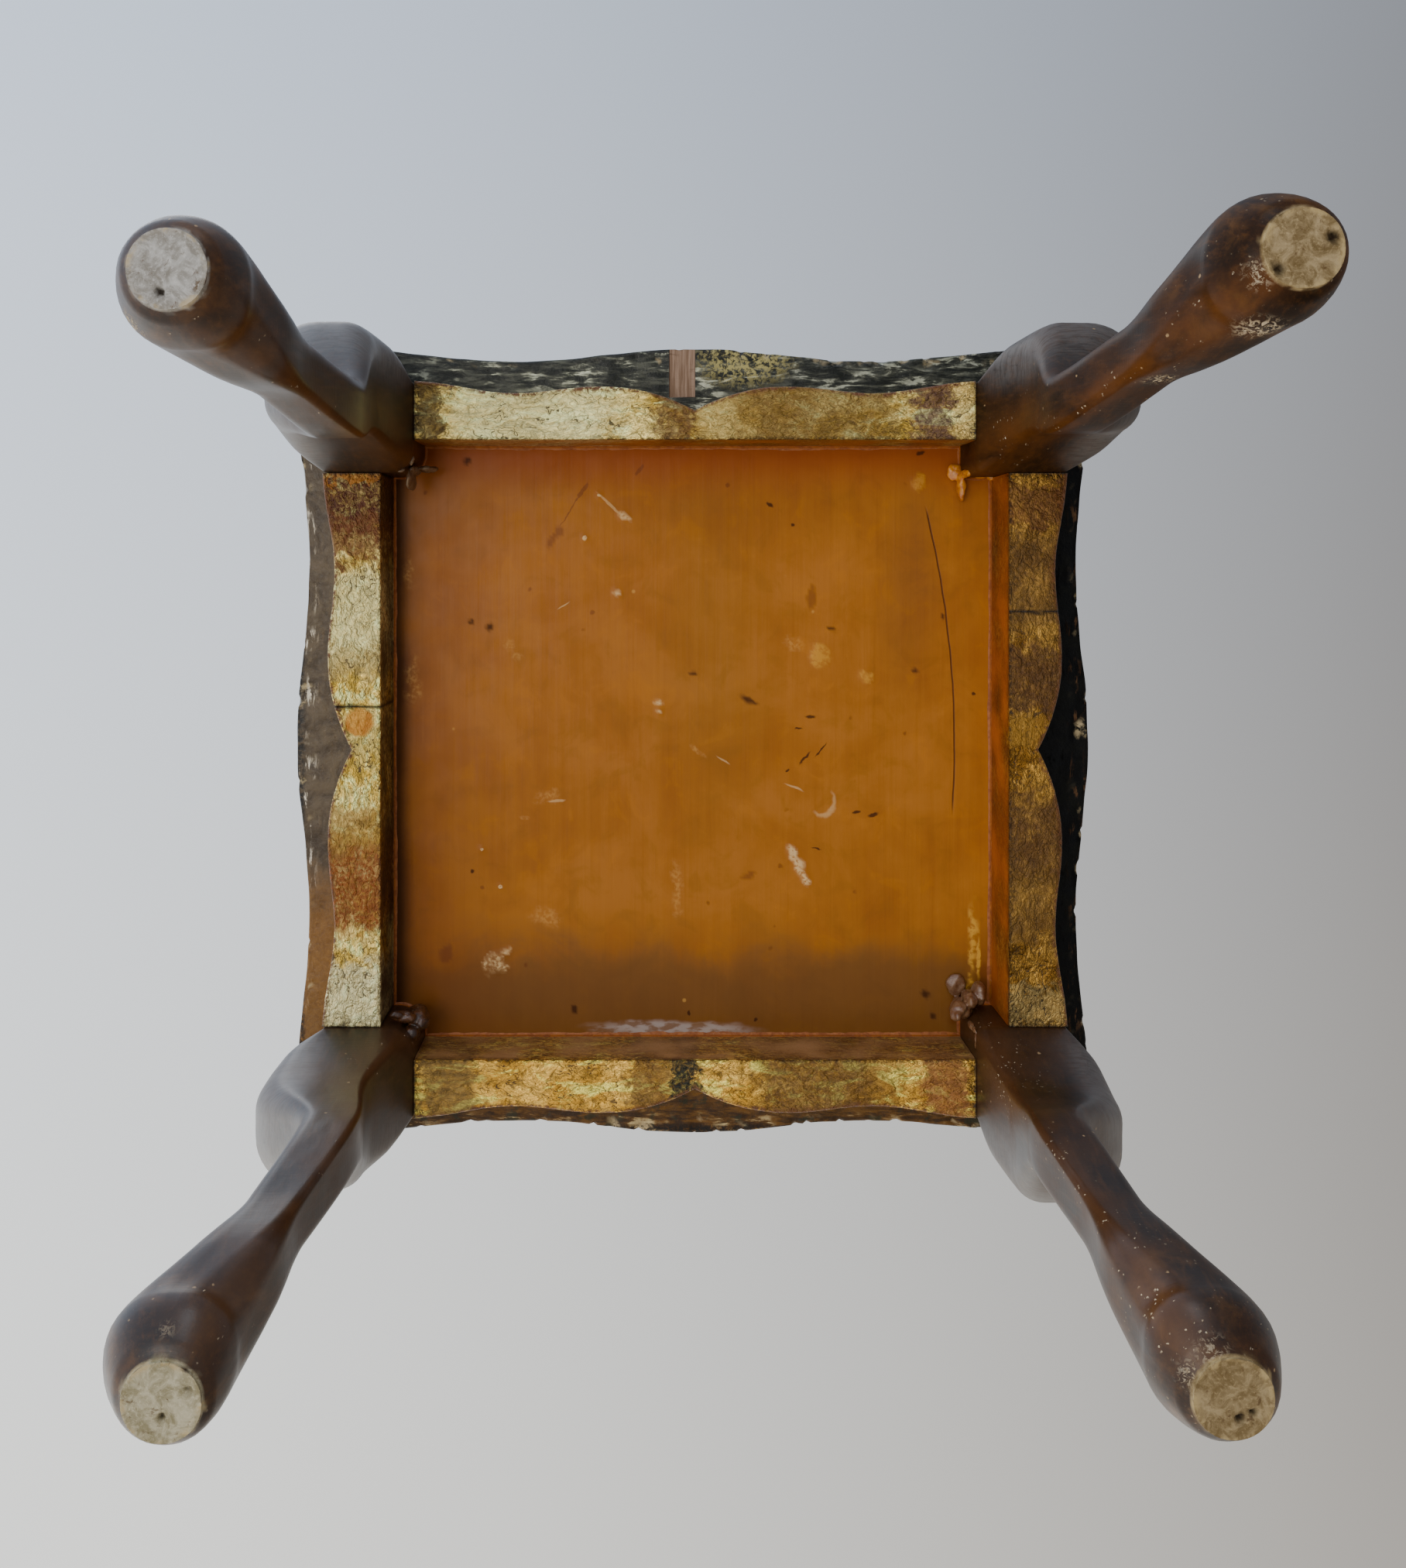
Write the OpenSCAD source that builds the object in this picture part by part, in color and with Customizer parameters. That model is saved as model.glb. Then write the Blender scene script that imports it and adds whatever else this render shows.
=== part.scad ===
// Small square table: a board with a waving edge on four cupid's-bow rails and four cabriole legs.
// Origin on the floor under the middle of the board. +Z is up, the front is towards -Y. Millimetres.

/* [Board] */
// Height of the table, from the floor to the top of the board
table_h = 205; // [180:1:260]
// Length of the board along X, between the middle lines of its waving edges
board_l = 303; // [260:1:380]
// Width of the board along Y, between the middle lines of its waving edges
board_w = 300; // [260:1:380]
// Thickness of the board
board_t = 13; // [10:0.5:20]
// How far the edge of the board swells and dips from its middle line
board_wave = 2.4; // [0:0.1:4]
// Radius of the corners of the board
board_corner_r = 16; // [6:1:30]
// How far the board reaches past the frame, to the middle line of its edge
overhang = 14; // [6:0.5:30]

/* [Bare patch] */
// Width of the patch where the finish is gone from the front edge of the board
patch_w = 10; // [6:0.5:20]
// Distance of the patch from the middle of the front edge
patch_x = -4; // [-20:1:20]
// Length of the patch from the edge of the board inwards
patch_l = 19; // [8:1:19]
// Thickness of the finish that is gone there
patch_depth = 1; // [0.4:0.1:2]

/* [Rails] */
// Height of the rails
rail_h = 30; // [24:1:45]
// Thickness of the rails at their ends
rail_t = 22; // [18:0.5:28]
// Depth of the dip in the outer face, between the end and the bow
rail_dip = 4.4; // [0:0.1:6]
// Depth of the bow's lobes below the end of the rail
rail_lobe = 2; // [0:0.1:3]
// Depth of the cusp at the middle of the rail
rail_cusp = 10.8; // [4:0.1:12]
// Width of the bow, from lobe to lobe, along the rail
rail_bow_w = 66; // [40:1:90]

/* [Legs] */
// Width of the square post at the top of each leg
post_w = 34; // [30:0.5:44]
// Radius of the post's outer corner
post_corner_r = 8; // [2:0.5:9]
// How far the knee stands out past the frame
knee_out = 16; // [4:0.5:24]
// Thickness of the leg at the knee
knee_w = 39.5; // [30:0.5:50]
// Distance of the knee below the rails
knee_drop = 31; // [20:1:40]
// Height of the calf above the floor, where the leg is drawn in furthest
calf_h = 92; // [80:1:96]
// Distance from the frame's outer face in to the middle of the calf
calf_in = 17.5; // [10:0.5:22]
// Thickness of the leg at the calf
calf_w = 19.5; // [16:0.5:28]
// Height of the ankle above the floor
ankle_h = 56; // [46:1:64]
// Distance from the frame's outer face in to the middle of the ankle
ankle_in = 9.5; // [4:0.5:16]
// Thickness of the leg at the ankle
ankle_w = 19; // [15:0.5:24]
// Distance from the frame's outer face out to the middle of the foot
foot_out = 8.5; // [0:0.5:20]
// Width of the foot at its widest
foot_w = 36.5; // [31:0.5:46]
// Height of the foot's widest place above the floor
foot_h = 14; // [10:0.5:18]
// Diameter of the flat pad that the foot stands on
pad_d = 21.2; // [16:0.2:26]
// Height of the flat pad
pad_h = 1.2; // [0.6:0.1:2]

/* [Hand work] */
// How far the front left foot wanders outwards, along X and Y
drift_fl = [-4.5, -2]; // [-16:0.5:16]
// How far the front right foot wanders outwards, along X and Y
drift_fr = [4.5, 4.5]; // [-16:0.5:16]
// How far the back left foot wanders outwards, along X and Y
drift_bl = [-0.5, 2]; // [-16:0.5:16]
// How far the back right foot wanders outwards, along X and Y
drift_br = [-13.5, 1]; // [-16:0.5:16]
// How far the front left knee wanders outwards, along X and Y
knee_fl = [-3, 0.5]; // [-8:0.5:4]
// How far the front right knee wanders outwards, along X and Y
knee_fr = [0, 0]; // [-8:0.5:4]
// How far the back left knee wanders outwards, along X and Y
knee_bl = [0, -3.5]; // [-8:0.5:4]
// How far the back right knee wanders outwards, along X and Y
knee_br = [-6, 1]; // [-8:0.5:4]
// How far the front left pad lies outwards from the middle of its foot, along X and Y
pad_fl = [1, 1.5]; // [-5:0.5:5]
// How far the front right pad lies outwards from the middle of its foot, along X and Y
pad_fr = [3, 0.5]; // [-5:0.5:5]
// How far the back left pad lies outwards from the middle of its foot, along X and Y
pad_bl = [-1.5, 4.5]; // [-5:0.5:5]
// How far the back right pad lies outwards from the middle of its foot, along X and Y
pad_br = [2.5, 4.5]; // [-5:0.5:5]
// Radius of the front left post's inner corner
inner_r_fl = 9; // [1:0.5:12]
// Radius of the front right post's inner corner
inner_r_fr = 2; // [1:0.5:12]
// Radius of the back left post's inner corner
inner_r_bl = 10; // [1:0.5:12]
// Radius of the back right post's inner corner
inner_r_br = 4; // [1:0.5:12]

/* [Dowels] */
// Diameter of the dowels
dowel_d = 8; // [6:0.5:8]
// Distance between the two dowels of a rail's end
dowel_pitch = 15; // [12:0.5:16]
// Length of a rail dowel inside the rail
dowel_in_rail = 15; // [10:1:20]
// Wood left in the post between dowels that come from two sides
dowel_wall = 4; // [2:0.5:5]
// Length of a board dowel inside the post
dowel_in_post = 18; // [12:1:24]
// Wood left above a board dowel
dowel_cover = 5; // [3:0.5:6]
// Play around a dowel, on the radius
dowel_play = 0.1; // [0.05:0.05:0.3]
// Space left beyond each end of a dowel
dowel_end_gap = 1; // [0.5:0.1:2]

/* [Glue] */
// Thickness of the bead of hardened glue round a post's inner corner
glue_t = 1.4; // [0.8:0.1:3]
// Length of the bead along each face of the post, past the corner
glue_leg = 3; // [1:0.5:8]
// How far the bead ends above the bottom of the rails
glue_up = 1.5; // [0.5:0.5:6]

/* [Hidden] */

$fn = 48;

// Corners of the table, as the signs of X and Y.
FL = [-1, -1];
FR = [1, -1];
BL = [-1, 1];
BR = [1, 1];

// Heights and half sizes that the pieces share.
under_z = table_h - board_t;
rail_z = under_z - rail_h;
knee_z = rail_z - knee_drop;
frame_x = board_l / 2 - overhang;
frame_y = board_w / 2 - overhang;
rail_half_x = frame_x - post_w;
rail_half_y = frame_y - post_w;
dowel_in_side = post_w - rail_t / 2 - dowel_d / 2 - dowel_wall;
dowel_in_board = board_t - dowel_cover;

board_steps = 64;
corner_steps = 8;
rail_steps = 48;
ring_steps = 44;
arc_steps = 5;
cut = 1;

// ---- Board ----

// Points of the board's outline in the first quarter, from the middle of the right side to the middle of
// the back: the right edge's wave, the round corner and the back edge's wave.
function wave(t) = board_wave * cos(360 * t);
function board_quarter() =
    let (
        cx = board_l / 2 + board_wave - board_corner_r,
        cy = board_w / 2 + board_wave - board_corner_r,
        n = board_steps / 4
    )
    concat(
        [for (i = [0 : n - 1]) [board_l / 2 + wave(i / n), cy * i / n]],
        [for (i = [0 : corner_steps])
            let (a = 90 * i / corner_steps)
            [cx + board_corner_r * cos(a), cy + board_corner_r * sin(a)]],
        [for (i = [n - 1 : -1 : 1]) [cx * i / n, board_w / 2 + wave(i / n)]]
    );
function turn_quarter(p, k) =
    k == 0 ? p :
    k == 1 ? [for (i = [len(p) - 1 : -1 : 0]) [-p[i][0], p[i][1]]] :
    k == 2 ? [for (q = p) [-q[0], -q[1]]] :
    [for (i = [len(p) - 1 : -1 : 0]) [p[i][0], -p[i][1]]];
function board_outline() =
    let (q = board_quarter(), mid_back = [[0, board_w / 2 + wave(0)]], mid_front = [[0, -board_w / 2 - wave(0)]])
    concat(
        q, mid_back, turn_quarter([for (i = [1 : len(q) - 1]) q[i]], 1),
        turn_quarter(q, 2), mid_front, turn_quarter([for (i = [1 : len(q) - 1]) q[i]], 3)
    );

module board() {
    color("darkslategray") difference() {
        translate([0, 0, under_z])
            linear_extrude(board_t)
            polygon(board_outline());
        translate([patch_x - patch_w / 2, -board_w / 2 - board_wave + patch_l, under_z])
            mirror([0, 1, 0])
            translate([0, 0, -cut])
            cube([patch_w, patch_l + cut, patch_depth + cut]);
        for (s = [FL, FR, BL, BR])
            board_dowel_bore(s);
    }
}

// ---- Rails ----

// Depth of a rail's outer face below its ends, at t from -1 at one end to 1 at the other.
function bow(t) =
    let (lobe = rail_bow_w / 2 / rail_half_x, a = abs(t))
    a >= lobe ?
        let (u = (1 - a) / (1 - lobe))
        rail_lobe * u + (rail_dip - rail_lobe / 2) * pow(sin(180 * u), 2) :
        rail_lobe + (rail_cusp - rail_lobe) * pow(1 - a / lobe, 2);

// A rail along X with its outer face towards -Y, its inner face at y = 0 and its middle at x = 0.
module rail_blank(half_l) {
    linear_extrude(rail_h)
        polygon(concat(
            [[half_l, 0], [-half_l, 0]],
            [for (i = [0 : rail_steps])
                let (t = -1 + 2 * i / rail_steps)
                [half_l * t, -rail_t + bow(t)]]
        ));
}

module rail(side_half, face, angle) {
    color("darkgoldenrod") difference() {
        rotate(angle)
            translate([0, -face + rail_t, rail_z])
            rail_blank(side_half);
        for (end = [-1, 1])
            rotate(angle)
            rail_dowel_pair(end, side_half, face, dowel_play, dowel_end_gap);
    }
}

module rail_front() { rail(rail_half_x, frame_y, 0); }
module rail_right() { rail(rail_half_y, frame_x, 90); }
module rail_back() { rail(rail_half_x, frame_y, 180); }
module rail_left() { rail(rail_half_y, frame_x, 270); }

// ---- Dowels ----

// The two dowels at one end of the rail that has its outer face towards -Y. The same pair, with play and
// end gaps, is what the bores are cut with.
module rail_dowel_pair(end, side_half, face, play, gap) {
    for (k = [-1, 1])
        translate([end * (side_half - dowel_in_rail - gap), -face + rail_t / 2, rail_z + (rail_h + k * dowel_pitch) / 2])
        rotate([0, end * 90, 0])
        cylinder(d = dowel_d + 2 * play, h = dowel_in_rail + dowel_in_side + 2 * gap);
}

module dowels_front(end, play = 0, gap = 0) { rail_dowel_pair(end, rail_half_x, frame_y, play, gap); }
module dowels_right(end, play = 0, gap = 0) { rotate(90) rail_dowel_pair(end, rail_half_y, frame_x, play, gap); }
module dowels_back(end, play = 0, gap = 0) { rotate(180) rail_dowel_pair(end, rail_half_x, frame_y, play, gap); }
module dowels_left(end, play = 0, gap = 0) { rotate(270) rail_dowel_pair(end, rail_half_y, frame_x, play, gap); }

// A board dowel stands where the middles of the two rails would cross.
module board_dowel_rod(s, play, gap) {
    translate([s[0] * (frame_x - rail_t / 2), s[1] * (frame_y - rail_t / 2), under_z - dowel_in_post - gap])
        cylinder(d = dowel_d + 2 * play, h = dowel_in_post + dowel_in_board + 2 * gap);
}
module board_dowel_bore(s) { board_dowel_rod(s, dowel_play, dowel_end_gap); }
module board_dowel(s) { color("burlywood") board_dowel_rod(s, 0, 0); }

// ---- Legs ----

// A smooth curve through stations: no overshoot, and flat where the leg turns back.
function steep(z, v, i) =
    i == 0 ? (v[1] - v[0]) / (z[1] - z[0]) :
    i == len(z) - 1 ? (v[i] - v[i - 1]) / (z[i] - z[i - 1]) :
    let (
        h0 = z[i] - z[i - 1],
        h1 = z[i + 1] - z[i],
        d0 = (v[i] - v[i - 1]) / h0,
        d1 = (v[i + 1] - v[i]) / h1
    )
    d0 * d1 <= 0 ? 0 : 3 * (h0 + h1) / ((2 * h1 + h0) / d0 + (h1 + 2 * h0) / d1);
function span_of(z, at, i = 0) = i >= len(z) - 2 || at <= z[i + 1] ? i : span_of(z, at, i + 1);
function curve(z, v, at) =
    let (
        i = span_of(z, at),
        h = z[i + 1] - z[i],
        t = (at - z[i]) / h,
        t2 = t * t,
        t3 = t2 * t
    )
    (2 * t3 - 3 * t2 + 1) * v[i] + (t3 - 2 * t2 + t) * h * steep(z, v, i)
    + (3 * t2 - 2 * t3) * v[i + 1] + (t3 - t2) * h * steep(z, v, i + 1);

// Stations of the leg from the pad up. Middles are distances out from the frame's outer face.
foot_low_z = 3.5;
foot_low_w = 28;
foot_top_z = 34;
foot_top_in = 2;
foot_top_w = 27.5;
// The knee stays full until this far below the rails.
brow_z = rail_z - 13;
brow_w = knee_w + 1.5;
brow_out = knee_out - 3.5;
post_mid = -post_w / 2;
leg_z = [pad_h, foot_low_z, foot_h, foot_top_z, ankle_h, calf_h, knee_z, brow_z, rail_z];
leg_mid = [foot_out, foot_out, foot_out, -foot_top_in, -ankle_in, -calf_in,
    knee_out - knee_w / 2, brow_out - brow_w / 2, post_mid];
leg_w = [pad_d, foot_low_w, foot_w, foot_top_w, ankle_w, calf_w, knee_w, brow_w, post_w];
// Roundness of the corners, as a share of half the width: the arris inside, the two sides, the outer corner.
// A foot is as good as round, and keeps a short flat on each side so that no two points of a ring meet.
full = 0.97;
side_round = [full, full, full, 0.85, 0.65, 0.5, 0.6, 0.45, 0.12];
outer_round = [full, full, full, 0.95, 0.92, 0.9, 0.95, 0.85, post_corner_r / post_w * 2];
function inner_round(inner_r) = [full, 0.94, 0.8, 0.5, 0.3, 0.2, 0.15, 0.15, inner_r / post_w * 2];

// Shares of the knee's and the pad's wander that a height takes.
knee_share_z = [pad_h, ankle_h, calf_h, knee_z, brow_z, rail_z];
knee_share = [0, 0, 0.1, 1, 0.6, 0];
pad_share_z = [pad_h, foot_h, rail_z];
pad_share = [1, 0, 0];

// One ring of the leg at half width h round [x, y], turned so that [1, 1] points out of the table.
function ring(x, y, h, r_in, r_side, r_out) = [
    for (k = [0 : 3])
        let (
            r = h * [r_out, r_side, r_in, r_side][k],
            sx = [1, -1, -1, 1][k],
            sy = [1, 1, -1, -1][k]
        )
        for (j = [0 : arc_steps])
            let (a = 90 * (k + j / arc_steps))
            [x + sx * (h - r) + r * cos(a), y + sy * (h - r) + r * sin(a)]
];
function leg_ring(z, inner_r, drift, knee, pad) =
    let (
        shift = drift * max(0, 1 - z / knee_z)
            + knee * curve(knee_share_z, knee_share, z)
            + pad * curve(pad_share_z, pad_share, z),
        mid = curve(leg_z, leg_mid, z)
    )
    ring(
        frame_x + mid + shift[0], frame_y + mid + shift[1], curve(leg_z, leg_w, z) / 2,
        curve(leg_z, inner_round(inner_r), z), curve(leg_z, side_round, z), curve(leg_z, outer_round, z)
    );

// The leg's surface is a skin over rings: the pad's two, then up to the rails, and one more at the board.
module leg_body(inner_r, drift, knee, pad) {
    heights = [for (i = [0 : ring_steps])
        let (t = i / ring_steps)
        pad_h + (rail_z - pad_h) * pow(t, 1.25)];
    rings = concat(
        [[for (p = leg_ring(pad_h, inner_r, drift, knee, pad)) [p[0], p[1], 0]]],
        [for (z = heights) [for (p = leg_ring(z, inner_r, drift, knee, pad)) [p[0], p[1], z]]],
        [[for (p = leg_ring(rail_z, inner_r, drift, knee, pad)) [p[0], p[1], under_z]]]
    );
    n = len(rings[0]);
    m = len(rings);
    polyhedron(
        points = [for (r = rings) for (p = r) p],
        faces = concat(
            [[for (i = [0 : n - 1]) i]],
            [for (j = [0 : m - 2]) for (i = [0 : n - 1])
                let (k = (i + 1) % n)
                [j * n + i, (j + 1) * n + i, (j + 1) * n + k, j * n + k]],
            [[for (i = [n - 1 : -1 : 0]) (m - 1) * n + i]]
        )
    );
}

// A leg is made for the back right corner and mirrored to its own.
module to_corner(s) {
    mirror([s[0] < 0 ? 1 : 0, 0, 0])
        mirror([0, s[1] < 0 ? 1 : 0, 0])
        children();
}

module leg(s, inner_r, drift, knee, pad) {
    color("saddlebrown") difference() {
        to_corner(s)
            leg_body(inner_r, drift, knee, pad);
        if (s[1] < 0) dowels_front(s[0], dowel_play, dowel_end_gap);
        if (s[1] > 0) dowels_back(-s[0], dowel_play, dowel_end_gap);
        if (s[0] > 0) dowels_right(s[1], dowel_play, dowel_end_gap);
        if (s[0] < 0) dowels_left(-s[1], dowel_play, dowel_end_gap);
        board_dowel_bore(s);
    }
}

// ---- Glue ----

// The bead follows the post's inner corner on its way round from one rail to the other.
module glue_bead(inner_r) {
    x = rail_half_x;
    y = rail_half_y;
    arc = [for (j = [0 : arc_steps]) 180 + 90 * j / arc_steps];
    near = concat(
        [[x, y + inner_r + glue_leg]],
        [for (a = arc) [x + inner_r * (1 + cos(a)), y + inner_r * (1 + sin(a))]],
        [[x + inner_r + glue_leg, y]]
    );
    far_r = inner_r + glue_t;
    far = concat(
        [[x - glue_t, y + inner_r + glue_leg]],
        [for (a = arc) [x + inner_r + far_r * cos(a), y + inner_r + far_r * sin(a)]],
        [[x + inner_r + glue_leg, y - glue_t]]
    );
    translate([0, 0, rail_z + glue_up])
        linear_extrude(rail_h - glue_up)
        polygon(concat(near, [for (i = [len(far) - 1 : -1 : 0]) far[i]]));
}

// A lump that sagged from the joint while it set, lying against the bead.
module glue_lump(inner_r, lump_r, lump_long) {
    out = inner_r * (1 - sqrt(0.5)) - glue_t * 0.7;
    z = rail_z + glue_up + lump_r;
    translate([rail_half_x + out - lump_r * 0.4, rail_half_y + out - lump_r * 0.4, z])
        hull() {
            sphere(lump_r, $fn = 20);
            translate([0, 0, lump_long])
                sphere(lump_r * 0.7, $fn = 20);
        }
}

// Glue stays in the space between the rails, and stops at the post.
module glue(s, inner_r, lump_r, lump_long) {
    color("peru") to_corner(s) difference() {
        intersection() {
            union() {
                glue_bead(inner_r);
                if (lump_r > 0) glue_lump(inner_r, lump_r, lump_long);
            }
            translate([0, 0, rail_z])
                cube([frame_x - rail_t, frame_y - rail_t, rail_h]);
        }
        translate([0, 0, rail_z - cut])
            linear_extrude(rail_h + 2 * cut)
            polygon(ring(
                frame_x + post_mid, frame_y + post_mid, post_w / 2,
                inner_r / post_w * 2, side_round[len(side_round) - 1], post_corner_r / post_w * 2
            ));
    }
}

board();
rail_front();
rail_back();
rail_left();
rail_right();
leg(FL, inner_r_fl, drift_fl, knee_fl, pad_fl);  // leg_front_left
leg(FR, inner_r_fr, drift_fr, knee_fr, pad_fr);  // leg_front_right
leg(BL, inner_r_bl, drift_bl, knee_bl, pad_bl);  // leg_back_left
leg(BR, inner_r_br, drift_br, knee_br, pad_br);  // leg_back_right
color("burlywood") dowels_front(-1);  // dowels_rail_front_left
color("burlywood") dowels_front(1);  // dowels_rail_front_right
color("burlywood") dowels_back(1);  // dowels_rail_back_left
color("burlywood") dowels_back(-1);  // dowels_rail_back_right
color("burlywood") dowels_left(1);  // dowels_rail_left_front
color("burlywood") dowels_left(-1);  // dowels_rail_left_back
color("burlywood") dowels_right(-1);  // dowels_rail_right_front
color("burlywood") dowels_right(1);  // dowels_rail_right_back
board_dowel(FL);  // board_dowel_front_left
board_dowel(FR);  // board_dowel_front_right
board_dowel(BL);  // board_dowel_back_left
board_dowel(BR);  // board_dowel_back_right
glue(FL, inner_r_fl, 0, 0);  // glue_front_left
glue(FR, inner_r_fr, 0, 0);  // glue_front_right
glue(BL, inner_r_bl, 6, 5);  // glue_back_left
glue(BR, inner_r_br, 5, 4);  // glue_back_right
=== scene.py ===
import math

import bmesh
import bpy
from mathutils import Matrix, Vector, noise


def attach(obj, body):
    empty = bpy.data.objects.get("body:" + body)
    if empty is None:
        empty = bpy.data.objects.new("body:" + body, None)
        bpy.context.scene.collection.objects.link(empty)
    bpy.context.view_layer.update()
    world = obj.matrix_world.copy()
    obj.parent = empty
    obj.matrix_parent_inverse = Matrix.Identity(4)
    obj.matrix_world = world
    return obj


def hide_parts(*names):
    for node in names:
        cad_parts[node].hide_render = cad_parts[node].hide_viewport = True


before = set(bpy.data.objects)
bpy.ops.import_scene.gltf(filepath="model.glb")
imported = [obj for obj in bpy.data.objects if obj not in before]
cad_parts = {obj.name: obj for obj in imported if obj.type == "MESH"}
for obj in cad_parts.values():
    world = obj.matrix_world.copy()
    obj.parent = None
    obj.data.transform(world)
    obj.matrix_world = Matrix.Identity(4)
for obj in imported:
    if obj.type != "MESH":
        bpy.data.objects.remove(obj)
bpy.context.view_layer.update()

mm = 0.001

# ---- camera, lights and floor ----

view = {
    "place": (-0.0174, -0.0644, -0.3903),
    "lens": 34.48,
    "shift": (0.0353, -0.1334),
}

cameraData = bpy.data.cameras.new("camera")
cameraData.lens = view["lens"]
cameraData.sensor_width = 36
cameraData.shift_x, cameraData.shift_y = view["shift"]
cameraData.clip_start = 0.01
camera = bpy.data.objects.new("camera", cameraData)
camera.location = view["place"]
camera.rotation_euler = (math.pi, 0, 0)
bpy.context.scene.collection.objects.link(camera)
bpy.context.scene.camera = camera

studio = {
    "worldLeft": (1.12, 1.19, 1.24),
    "worldRight": (0.34, 0.33, 0.315),
    "worldFront": (0.80, 0.88, 1.04),
    "worldBack": (1.30, 1.22, 1.12),
    "spanX": (-0.40, 0.46), "spanY": (-0.4, 0.6),
    "wallGain": 1.1, "wallRise": (-0.30, 0.15), "wallFall": (0.74, 0.45),
    "floorColour": (0.78, 0.79, 0.81, 1),
    "floorSize": 6.0,
    "lamps": [
        # name, place, size, watts, colour
        ("windowLow", (-0.42, -0.14, -1.0), 0.5, 4.6, (1.0, 0.94, 0.84)),
        ("skyLow", (0.0, -0.95, -0.55), 0.3, 2.2, (0.95, 0.96, 1.0)),
        ("softTop", (-0.7, -0.9, 1.5), 0.8, 4, (1.0, 0.98, 0.95)),
    ],
}

world = bpy.data.worlds.new("room")
world.use_nodes = True
bpy.context.scene.world = world
sky = world.node_tree
sky.nodes.clear()
skySplit = sky.nodes.new("ShaderNodeSeparateXYZ")
sky.links.new(sky.nodes.new("ShaderNodeTexCoord").outputs["Generated"], skySplit.inputs[0])


def skyBand(axis, low, high):
    node = sky.nodes.new("ShaderNodeMapRange")
    node.inputs["From Min"].default_value = low
    node.inputs["From Max"].default_value = high
    sky.links.new(skySplit.outputs[axis], node.inputs["Value"])
    return node.outputs[0]


def skyMix(axis, span, colours):
    node = sky.nodes.new("ShaderNodeMix")
    node.data_type = "RGBA"
    for socket, colour in zip("AB", colours):
        node.inputs[socket].default_value = (*studio[colour], 1)
    sky.links.new(skyBand(axis, *span), node.inputs["Factor"])
    return node.outputs["Result"]


skyBlend = sky.nodes.new("ShaderNodeMix")
skyBlend.data_type = "RGBA"
skyBlend.blend_type = "MULTIPLY"
skyBlend.inputs["Factor"].default_value = 1.0
sky.links.new(skyMix("X", studio["spanX"], ("worldLeft", "worldRight")), skyBlend.inputs["A"])
sky.links.new(skyMix("Y", studio["spanY"], ("worldFront", "worldBack")), skyBlend.inputs["B"])
# a band of brighter light low round the table
skyWall = sky.nodes.new("ShaderNodeMath")
skyWall.operation = "MULTIPLY"
sky.links.new(skyBand("Z", *studio["wallRise"]), skyWall.inputs[0])
sky.links.new(skyBand("Z", *studio["wallFall"]), skyWall.inputs[1])
skyGain = sky.nodes.new("ShaderNodeMath")
skyGain.operation = "MULTIPLY_ADD"
skyGain.inputs[1].default_value = studio["wallGain"]
skyGain.inputs[2].default_value = 1.0
sky.links.new(skyWall.outputs[0], skyGain.inputs[0])
skyShade = sky.nodes.new("ShaderNodeBackground")
sky.links.new(skyGain.outputs[0], skyShade.inputs["Strength"])
sky.links.new(skyBlend.outputs["Result"], skyShade.inputs["Color"])
sky.links.new(skyShade.outputs[0], sky.nodes.new("ShaderNodeOutputWorld").inputs["Surface"])

for name, place, size, watts, colour in studio["lamps"]:
    lampData = bpy.data.lights.new(name, "AREA")
    lampData.shape = "SQUARE"
    lampData.size = size
    lampData.energy = watts
    lampData.color = colour
    lamp = bpy.data.objects.new(name, lampData)
    lamp.location = place
    lamp.rotation_euler = (Vector((0, 0, 0.15)) - Vector(place)).to_track_quat("-Z", "Y").to_euler()
    bpy.context.scene.collection.objects.link(lamp)

floorShape = bmesh.new()
bmesh.ops.create_grid(floorShape, x_segments=1, y_segments=1, size=studio["floorSize"] / 2)
floorMesh = bpy.data.meshes.new("floor")
floorShape.to_mesh(floorMesh)
floorShape.free()
floor = bpy.data.objects.new("floor", floorMesh)
floor.location.z = -0.0003
bpy.context.scene.collection.objects.link(floor)
floor.visible_shadow = False
floor.visible_diffuse = False
floor.visible_glossy = False
floorPaint = bpy.data.materials.new("floorPaint")
floorPaint.use_nodes = True
floorTree = floorPaint.node_tree
floorShade = floorTree.nodes["Principled BSDF"]
floorShade.inputs["Base Color"].default_value = studio["floorColour"]
floorShade.inputs["Roughness"].default_value = 0.9
floorSide = floorTree.nodes.new("ShaderNodeNewGeometry")
floorGone = floorTree.nodes.new("ShaderNodeBsdfTransparent")
floorMix = floorTree.nodes.new("ShaderNodeMixShader")
floorTree.links.new(floorSide.outputs["Backfacing"], floorMix.inputs[0])
floorTree.links.new(floorShade.outputs[0], floorMix.inputs[1])
floorTree.links.new(floorGone.outputs[0], floorMix.inputs[2])
floorTree.links.new(floorMix.outputs[0], floorTree.nodes["Material Output"].inputs["Surface"])
floorMesh.materials.append(floorPaint)
print("studio ready")

# ---- mixing finishes ----


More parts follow.
